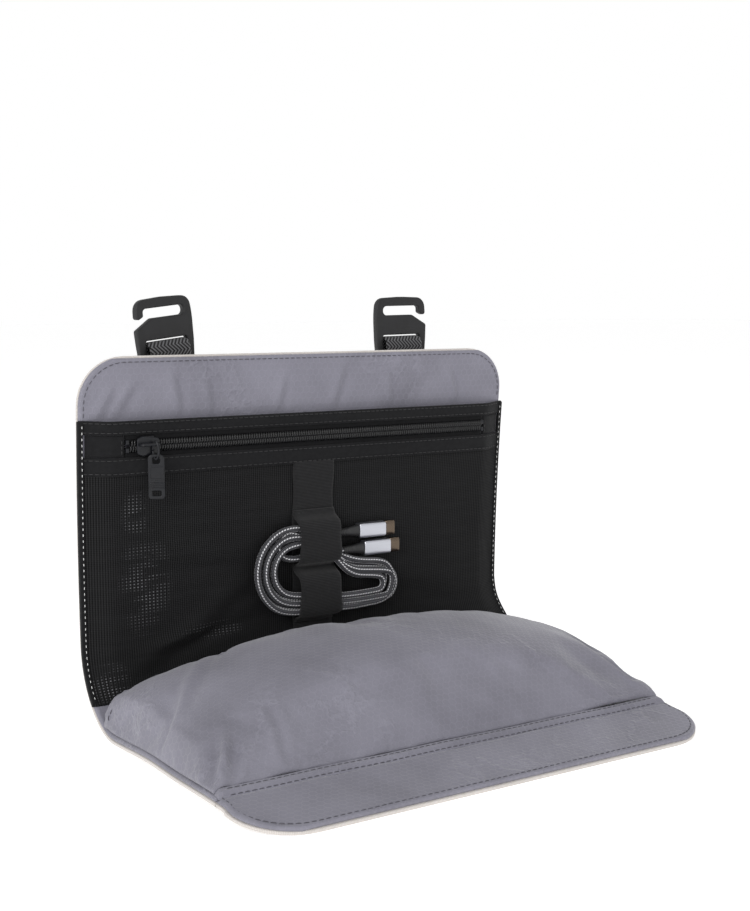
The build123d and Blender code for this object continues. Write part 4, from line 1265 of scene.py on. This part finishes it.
for level, low, high, wave in (
    ("lower", LOWER_LOW, LOWER_HIGH, 0.3 * MM),
    ("upper", UPPER_LOW, UPPER_HIGH, 0.35 * MM),
):
    bound_strip(
        f"facing_{level}", f"{level}_facing", gros_mat, low, high, FACING_DEPTH, 1.2 * MM,
        MESH_HALF, wave=wave, cols=120, rounding=LAYER_ROUND,
    )
zip_half, zip_mid = (ZIP_HIGH.x - ZIP_LOW.x) / 2 + 2 * MM, (ZIP_HIGH.x + ZIP_LOW.x) / 2
for level, low, high in (("lower", TAPE_LOW, ZIP_Z - 0.7 * MM), ("upper", ZIP_Z + 0.7 * MM, TAPE_HIGH)):
    bound_strip(
        f"tape_{level}", f"zip_tape_{level}", tape_mat, low, high, TAPE_DEPTH, 0.8 * MM,
        zip_half, zip_mid, rounding=0.3 * MM,
    )
for side in ("left", "right"):
    low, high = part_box(f"zip_end_tab_{side}")
    bound_strip(
        f"end_tab_{side}", f"zip_end_tab_{side}", gros_mat, low.z, high.z, FACING_DEPTH - 0.5 * MM, 1.6 * MM,
        (high.x - low.x) / 2, (high.x + low.x) / 2, cols=24, rounding=LAYER_ROUND,
    )
    stitch_x = (high.x - 1.4 * MM) if side == "left" else (low.x + 1.4 * MM)
    path = [(stitch_x, s) for s in np.linspace(run_at(low.z + 1 * MM), run_at(high.z - 1 * MM), 6)]
    panel_stitches(f"stitch_tab_{side}", path, lambda x, s: stand(x, FACING_DEPTH - 0.4 * MM), 2.0, 2.5)

facing_rows = (UPPER_HIGH - 1.2 * MM, UPPER_LOW + 1.3 * MM, LOWER_HIGH - 1.3 * MM, LOWER_LOW + 1.3 * MM)
for name, height in zip("abcd", facing_rows):
    path = [(x, run_at(height)) for x in np.linspace(-MESH_HALF + 1.5 * MM, MESH_HALF - 1.5 * MM, 80)]
    panel_stitches(f"stitch_facing_{name}", path, lambda x, s: stand(x, FACING_DEPTH + 0.15 * MM), 2.4, 3.0)


def zip_tooth(x, flip):
    """One loop of the zip's coil, as a short bent rod lying across its tape."""
    profile = ((2.7, 0.3), (2.5, 1.0), (1.8, 1.6), (0.7, 1.8), (-0.15, 1.5), (-0.6, 0.9), (-0.5, 0.2))
    profile = np.array(profile) * MM
    s = run_at(ZIP_Z) + flip * (profile[:, 0] + 0.35 * MM)
    lean = np.linspace(0.25, -0.25, len(profile)) * MM * flip
    h = TAPE_DEPTH + profile[:, 1] * 0.95
    return np.stack((x + lean, s, h), -1)


def zip_coil(name, flip, node):
    """A row of coil loops along one tape."""
    pitch, radius, sides = 1.42 * MM, 0.38 * MM, 8
    xs = np.arange(ZIP_LOW.x + 0.8 * MM, ZIP_HIGH.x - 0.4 * MM, pitch) + (0.65 * MM if flip > 0 else 0)
    points, faces = [], []
    a = np.linspace(0, 2 * math.pi, sides, endpoint=False)
    for x in xs:
        line = wrap(*zip_tooth(x, flip).T)
        t = tangents(line)
        side = unit(np.cross(t, (1, 0, 0)))
        over = np.cross(t, side) * 1.45
        ring = np.cos(a)[None, :, None] * side[:, None] + np.sin(a)[None, :, None] * over[:, None]
        first = len(points) * sides * len(line)
        faces += [tuple(first + v for v in quad) for quad in ring_faces(len(line), sides)]
        faces.append(tuple(first + (len(line) - 1) * sides + k for k in range(sides)))
        points.append((line[:, None] + radius * ring).reshape(-1, 3))
    made = outward(shape(name, np.concatenate(points), faces, coil_mat))
    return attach(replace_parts(made, node), "back")


zip_coil("coil_upper", 1, "zip_coil_upper")
zip_coil("coil_lower", -1, "zip_coil_lower")


def rounded(points, radii, steps=6):
    """A polygon with its corners rounded by one radius or one for each corner, as (u, v)."""
    out = []
    count = len(points)
    radii = [radii] * count if isinstance(radii, (int, float)) else radii
    for i in range(count):
        a, b, c = (np.array(points[(i + k) % count], float) for k in (-1, 0, 1))
        r = radii[i]
        u, v = (a - b) / np.linalg.norm(a - b), (c - b) / np.linalg.norm(c - b)
        half = math.acos(np.clip(np.dot(u, v), -1, 1)) / 2
        cut = min(r / math.tan(half), 0.49 * min(np.linalg.norm(a - b), np.linalg.norm(c - b)))
        r = cut * math.tan(half)
        middle = b + (u + v) / np.linalg.norm(u + v) * (r / math.sin(half))
        p, q = b + u * cut - middle, b + v * cut - middle
        turn = math.atan2(p[0] * q[1] - p[1] * q[0], np.dot(p, q))
        for k in range(steps + 1):
            t = turn * k / steps
            spin = np.array([[math.cos(t), -math.sin(t)], [math.sin(t), math.cos(t)]])
            out.append(tuple(middle + spin @ p))
    return out


def plate(name, material, outlines, thick, bevel, place):
    """A flat plate with rounded edges cut to outlines in millimetres, the first outside and the rest holes.
    Its outlines lie in XZ and its thickness along Y, centred on a place."""
    curve = bpy.data.curves.new(name, "CURVE")
    curve.dimensions = "2D"
    curve.fill_mode = "BOTH"
    curve.extrude = (thick / 2 - bevel) * MM
    curve.bevel_depth = bevel * MM
    curve.bevel_resolution = 3
    curve.offset = -bevel * MM
    for outline in outlines:
        spline = curve.splines.new("POLY")
        spline.points.add(len(outline) - 1)
        for point, (u, v) in zip(spline.points, outline):
            point.co = (u * MM, v * MM, 0, 1)
        spline.use_cyclic_u = True
    holder = link(name + "_outline", curve)
    mesh = final_mesh(holder)
    bpy.data.objects.remove(holder)
    co = np.array([v.co for v in mesh.vertices])
    co = np.stack((co[:, 0], -co[:, 2], co[:, 1]), -1) + np.array(place)
    mesh.vertices.foreach_set("co", co.astype(np.float32).ravel())
    mesh.materials.clear()
    mesh.materials.append(material)
    with edited(mesh) as bm:
        bmesh.ops.remove_doubles(bm, verts=bm.verts, dist=1e-6)
        bmesh.ops.recalc_face_normals(bm, faces=bm.faces)
    mesh.polygons.foreach_set("use_smooth", [True] * len(mesh.polygons))
    keep_edges(mesh)
    return link(name, mesh)


def keep_edges(mesh, angle=35):
    """Flat faces stay flat: edges turning by more than an angle stay sharp."""
    with edited(mesh) as bm:
        for edge in bm.edges:
            if len(edge.link_faces) == 2 and edge.calc_face_angle(0) > math.radians(angle):
                edge.smooth = False


def block(name, material, centre, reach, bevel):
    """A box with rounded edges about a point, reaching so many millimetres each way."""
    low, high = centre - np.array(reach) * MM, centre + np.array(reach) * MM
    points = [(x, y, z) for x in (low[0], high[0]) for y in (low[1], high[1]) for z in (low[2], high[2])]
    faces = [(0, 1, 3, 2), (4, 6, 7, 5), (0, 4, 5, 1), (2, 3, 7, 6), (0, 2, 6, 4), (1, 5, 7, 3)]
    made = outward(shape(name, points, faces, material))
    edge = made.modifiers.new("Edge", "BEVEL")
    edge.width, edge.segments = bevel, 3
    return bake(made)


def rod(name, material, points, radius):
    """A round bar along a smooth curve that follows points."""
    return tube(name, smooth_line(name + "_line", points, 10), radius, material, 12)


# Stops at the coil's ends
for end, x in (("left", ZIP_LOW.x - 0.9 * MM), ("right", ZIP_HIGH.x + 0.9 * MM)):
    stops = []
    for flip in (-1, 1):
        at = wrap(x, run_at(ZIP_Z) + flip * 2.05 * MM, TAPE_DEPTH + 0.9 * MM)
        stops.append(block(f"stop_{end}_{flip + 1}", slider_mat, at, (0.9, 0.85, 1.2), 0.4 * MM))
    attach(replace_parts(join(f"zip_stop_{end}", stops), "zip_stops"), "back")


def make_slider():
    """Slider body: a front and a rear plate, side flanges, and the bridge that carries the pull."""
    low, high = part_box("zip_slider")
    mid_x = (low.x + high.x) / 2
    face = wrap(mid_x, run_at(ZIP_Z), COIL_DEPTH + 0.3 * MM)
    wide, tall = 6.0, 4.9
    edge = [(-wide, -tall * 0.78), (-wide * 0.55, -tall), (wide, -tall * 0.8)]
    outline = rounded(edge + [(u, -v) for u, v in edge[::-1]], 1.8)
    rear = wrap(mid_x, run_at(ZIP_Z), TAPE_DEPTH - 1.75 * MM)
    parts = [
        plate("slider_top", slider_mat, [outline], 1.3, 0.45, face + np.array((0, -0.65 * MM, 0))),
        plate("slider_under", slider_mat, [outline], 1.3, 0.45, rear),
    ]
    for flip in (-1, 1):
        at = face + np.array((0, 1.2 * MM, flip * 4.25 * MM))
        parts.append(block("slider_flange", slider_mat, at, (3.6, 1.3, 0.6), 0.3 * MM))
    out = BAR[1] - 0.5 * MM
    climb = ((5.0, face[1] - 0.9 * MM), (4.9, out), (2.2, out - 0.45 * MM))
    arch = [(mid_x - u * MM, y, ZIP_Z) for u, y in climb]
    arch += [(mid_x + u * MM, y, ZIP_Z) for u, y in climb[::-1]]
    parts.append(rod("slider_bridge", slider_mat, arch, 0.8 * MM))
    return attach(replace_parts(join("slider_body", parts), "zip_slider"), "zip_slider")


RING_LOW, RING_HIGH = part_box("zip_pull_ring")
PULL_LOW, PULL_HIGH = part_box("zip_puller")
BAR = np.array(((RING_LOW.x + RING_HIGH.x) / 2, (RING_LOW.y + RING_HIGH.y) / 2, RING_HIGH.z - 2.35 * MM))
RING_TURN, PULLER_TURN = 24.0, -26.0  # degrees about the vertical, as the loose pull hangs


def make_pull():
    """The pull: an oval wire ring and a flat coated puller with an eye, ribs and a recess near its end."""
    inner, drop = 1.85 * MM, 5.0 * MM
    a = 2 * math.pi * (np.arange(41) % 40) / 40
    y, z = BAR[1] + inner * np.cos(a), BAR[2] - drop / 2 + (inner + drop / 2) * np.sin(a)
    ring_line = np.stack((np.full_like(a, BAR[0]), y, z), -1)
    ring_piece = turned(tube("pull_ring", ring_line, 0.62 * MM, slider_mat, 12), BAR, RING_TURN)
    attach(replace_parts(ring_piece, "zip_pull_ring"), "zip_pull")
    wide, tall = (PULL_HIGH.x - PULL_LOW.x) / 2 / MM, (PULL_HIGH.z - PULL_LOW.z) / MM
    thick = (PULL_HIGH.y - PULL_LOW.y) / MM

    def upright(half, low, high, radii):
        """A rounded rectangle about the puller's middle line, its corners from the lower left."""
        return rounded([(-half, low), (half, low), (half, high), (-half, high)], radii)

    outline = upright(wide, -tall, 0, [1.6, 1.6, 2.6, 2.6])
    eye = upright(1.9, -4.8, -1.4, 0.9)
    window = upright(2.3, -tall + 1.7, -tall + 4.3, 0.6)
    middle = np.array(((PULL_LOW.x + PULL_HIGH.x) / 2, (PULL_LOW.y + PULL_HIGH.y) / 2, PULL_HIGH.z))
    face = np.array((0, -(thick - 0.3) / 2 * MM, 0))
    parts = [plate("puller_plate", slider_mat, [outline, eye, window], thick - 0.3, 0.35, middle)]
    for rib in (5.6, 6.9, 8.2):
        at = middle + face + np.array((0, 0, (rib - tall) * MM))
        parts.append(block("puller_rib", slider_mat, at, (wide - 0.1, 0.35, 0.32), 0.2 * MM))
    border = upright(wide - 0.5, -tall + 9.6, -5.8, 1.0)
    field = upright(wide - 1.3, -tall + 10.4, -6.6, 0.6)
    parts.append(plate("puller_border", slider_mat, [border, field], 0.6, 0.15, middle + face))
    puller = turned(join("puller", parts), BAR, PULLER_TURN)
    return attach(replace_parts(puller, "zip_puller"), "zip_pull")


make_slider()
make_pull()


def edge_depth(x, s):
    """Depth of the face of the mesh or the facing, whichever lies along the pocket's side."""
    return np.where(s > run_at(LOWER_LOW), stand(x, FACING_DEPTH), net_depth(x, s)) + 0.7 * MM


# Black edge tape down both sides of the mesh, with its fine white dashes
for side, sign in (("left", -1), ("right", 1)):
    rows = sheet_rows(NET_BOTTOM + 1 * MM, run_at(UPPER_HIGH - 0.4 * MM))
    edge_tape = band(
        f"mesh_edge_{side}", gros_mat, rows, lambda u, s: np.minimum(edge_depth(u, s) - 0.9 * MM, 2.2 * MM),
        edge_depth, 1.3 * MM, sign * (MESH_HALF - 0.9 * MM), cols=14, rounding=0.35 * MM,
    )
    over_fold(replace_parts(edge_tape, f"mesh_binding_{side}"))
    ends = np.linspace(NET_BOTTOM + 3 * MM, run_at(UPPER_HIGH - 1.5 * MM), 90)
    path = [(sign * (MESH_HALF - 1.5 * MM), s) for s in ends]
    dashes = sheet_thread(
        f"stitch_mesh_{side}", white_thread, path, edge_depth,
        pitch=3.0 * MM, length=1.5 * MM, radius=0.17 * MM,
    )
    over_fold(dashes)


# ------------------------------------------------------------------ strap and its loops
STRAP_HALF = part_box("organizer_strap")[1].x
LOOP_UP_LOW, LOOP_UP_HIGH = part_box("cable_loop_upper")
LOOP_DOWN_LOW, LOOP_DOWN_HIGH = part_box("cable_loop_lower")
LOOP_Y = LOOP_UP_LOW.y


def panel_point(height, depth):
    """(y, z) on the panel at a height and depth."""
    at = wrap(0.0, run_at(height), depth)
    return float(at[1]), float(at[2])


def strip(name, material, line, half, thick, wave=0.0, belly=0.0, bow=0.0):
    """A ribbon along (y, z) points: flat across X, with rounded edges. It may wave along its edges, widen
    by a belly at its middle and bow out between its edges."""
    flat = np.array([(0.0, y, z) for y, z in line])
    path = smooth_line(name + "_line", flat, 8)
    path, at = resample(path, 1.1 * MM)
    t = tangents(path)
    out = np.cross(t, (1, 0, 0))
    u = np.linspace(-1, 1, 18)
    halves = half + belly * np.sin(at / at[-1] * math.pi) + wave * np.sin(at * 260) * MM
    full = np.sqrt(1 - np.clip((np.abs(u) - 0.93) / 0.07, 0, 1) ** 2 * 0.9)
    ripple = 0.25 * MM * wave * np.sin(at[:, None] * 330 + u[None] * 1.7)
    top = path[:, None] + out[:, None] * (thick / 2 * full + bow * (1 - u**2))[None, :, None]
    under = path[:, None] + out[:, None] * (-thick / 2 * full + bow * (1 - u**2))[None, :, None]
    x = u[None] * halves[:, None]
    for face in (top, under):
        face[..., 0] = x
        face += out[:, None] * ripple[..., None]
    grid = np.concatenate((top, under[:, ::-1]), 1)
    flat_uv = np.stack(np.broadcast_arrays(x, at[:, None]), -1)
    return outward(skin(name, grid, material, np.concatenate((flat_uv, flat_uv[:, ::-1]), 1)))


def make_strap():
    """The elastic strap: a flat strip stitched to the mesh, and two raised loops that hold the cable."""
    top = LOWER_LOW + 1.0 * MM
    flat = [panel_point(z, STRAP_DEPTH - 0.5 * MM) for z in np.linspace(top, 43 * MM, 24)]
    for turn in (78, 66, 54, 42):
        a = math.radians(turn)
        r = FOLD_R - 6.2 * MM - 4.4 * MM * math.sin(a)
        flat.append((FOLD_Y + r * math.sin(a), FOLD_R - r * math.cos(a)))
    base = strip("strap_flat", elastic_mat, flat, STRAP_HALF, 1.1 * MM, wave=0.4)
    over_fold(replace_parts(base, "organizer_strap"))
    face = LOOP_Y + 0.6 * MM
    for level, low, high in (
        ("upper", LOOP_UP_LOW.z, LOOP_UP_HIGH.z),
        ("lower", LOOP_DOWN_LOW.z, LOOP_DOWN_HIGH.z),
    ):
        up_y = panel_point(high, STRAP_DEPTH)[0] - 0.7 * MM
        down_y = panel_point(low, STRAP_DEPTH)[0] - 0.7 * MM
        loop = [
            (up_y, high + 4.5 * MM), (up_y - 0.3 * MM, high + 1.6 * MM), (up_y - 3.4 * MM, high - 0.6 * MM),
            (face + 1.3 * MM, high - 2.0 * MM), (face - 0.2 * MM, high - 5.6 * MM),
            (face - 0.3 * MM, (high + low) / 2),
            (face - 0.2 * MM, low + 5.2 * MM), (face + 1.2 * MM, low + 1.9 * MM),
            (down_y - 3.2 * MM, low + 0.7 * MM), (down_y - 0.4 * MM, low - 0.9 * MM),
            (down_y, low - 2.4 * MM),
        ]
        made = strip(
            f"strap_loop_{level}", elastic_mat, loop, STRAP_HALF - 0.1 * MM, 1.25 * MM,
            wave=0.5, belly=0.5 * MM, bow=0.25 * MM,
        )
        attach(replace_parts(made, f"cable_loop_{level}"), "back")
    for tag, z in (("top", LOOP_UP_HIGH.z + 3.4 * MM), ("middle", (LOOP_UP_LOW.z + LOOP_DOWN_HIGH.z) / 2)):
        path = [(x, run_at(z)) for x in np.linspace(-STRAP_HALF + 1.6 * MM, STRAP_HALF - 1.6 * MM, 14)]
        panel_stitches(f"stitch_strap_{tag}", path, STRAP_DEPTH + 1.45 * MM, 1.9, 2.3)


make_strap()


# ------------------------------------------------------------------ hooks and webbing
HANG = {"left": (11.0, -6.0), "right": (3.0, -1.0)}  # degrees that each hook turns and leans as it hangs


def make_hook(side):
    """A flat side-opening hook: a bar and slot for the webbing, a solid middle and an open slot above it."""
    low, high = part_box(f"hook_{side}")
    half, tall = (high.x - low.x) / 2 / MM, (high.z - low.z) / MM
    thick = (high.y - low.y) / MM
    bar, slot_tall, body, gap = 4.5, 11.0, 11.0, 5.1
    shoulder = bar + slot_tall + body
    lower = rounded([(-12.9, bar), (-12.9, bar + slot_tall), (12.9, bar + slot_tall), (12.9, bar)], 1.3)
    outline = [
        (1.4 - half, 0), (half - 1.4, 0), (half - 0.3, bar + 9), (half, shoulder - 5.5), (7.6, shoulder),
        (-12.6, shoulder), (-12.6, shoulder + gap), (12.6, shoulder + gap), (12.6, shoulder + 1.2),
        (half - 0.4, shoulder - 0.9), (half - 1.1, tall - 0.7), (0, tall), (1.1 - half, tall - 0.7),
        (-half, shoulder), (0.3 - half, bar + 9),
    ]
    radii = [5.5, 5.5, 30, 1.6, 3.0, 2.5, 2.5, 2.3, 1.2, 1.4, 6.5, 60, 6.5, 60, 30]
    if side == "left":
        outline = [(-u, v) for u, v in outline][::-1]
        radii = radii[::-1]
        lower = [(-u, v) for u, v in lower][::-1]
    middle = ((low.x + high.x) / 2, (low.y + high.y) / 2, low.z)
    made = plate(f"hook_{side}_body", hook_mat, [rounded(outline, radii), lower], thick, 0.75, middle)
    turned(made, (middle[0], middle[1], low.z + 2.25 * MM), *HANG[side])
    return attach(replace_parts(made, f"hook_{side}"), f"hook_{side}")


WEB_HALF = 12.5 * MM
WEB_THICK = 1.4 * MM


def make_webbing(side):
    """The webbing that holds a hook: sewn to the panel's rear, up through the hook's lower slot and down."""
    low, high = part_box(f"webbing_loop_{side}")
    hook_low, hook_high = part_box(f"hook_{side}")
    x, y = (low.x + high.x) / 2, (hook_low.y + hook_high.y) / 2
    tail, split = low.z, low.z + 38 * MM
    reach = 5.0 * MM - WEB_THICK / 2
    crown = high.z - 5.0 * MM
    near = [panel_point(z, -WEB_THICK * 0.55) for z in np.linspace(tail + 0.5 * MM, split, 10)]
    far = [panel_point(z, -WEB_THICK * 1.58) for z in np.linspace(split, tail + 0.5 * MM, 10)]
    upright = (split + 21 * MM, crown - 3 * MM, crown + 2.2 * MM)
    rise = [(near[-1][0] + 0.6 * MM, split + 5 * MM), (y - reach * 1.05, split + 13 * MM)]
    rise += [(y - reach, z) for z in upright]
    top = [(y - reach * 0.55, crown + reach * 1.12), (y + reach * 0.55, crown + reach * 1.12)]
    fall = [(y + reach, z) for z in upright[::-1]]
    fall += [(y + reach * 0.7, split + 12 * MM), (far[0][0] + 0.9 * MM, split + 5 * MM)]
    line = near + rise + top + fall + far
    made = strip(f"webbing_{side}", web_mat, line, WEB_HALF, WEB_THICK)
    made.data.transform(Matrix.Translation((x, 0, 0)))
    turned(made, (x, y, hook_low.z + 2.25 * MM), *HANG[side], low=split + 8 * MM, high=hook_low.z + 1 * MM)
    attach(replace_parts(made, f"webbing_loop_{side}"), "back")
    a, b, c = run_at(tail + 4 * MM), run_at(split - 3 * MM), run_at(tail + 24 * MM)
    u = WEB_HALF - 2.2 * MM
    box_path = [(x - u, a), (x + u, a), (x + u, c), (x - u, c), (x - u, a)]
    box_path += [(x + u, c), (x - u, c), (x + u, a)]
    for tag, path in (("box", box_path), ("bar", [(x - u, b), (x + u, b)])):
        name = f"stitch_webbing_{side}_{tag}"
        panel_stitches(name, path, -WEB_THICK * 2.15, 2.0, 2.5, out=1, radius=0.3 * MM)


for hook_side in ("left", "right"):
    make_hook(hook_side)
    make_webbing(hook_side)
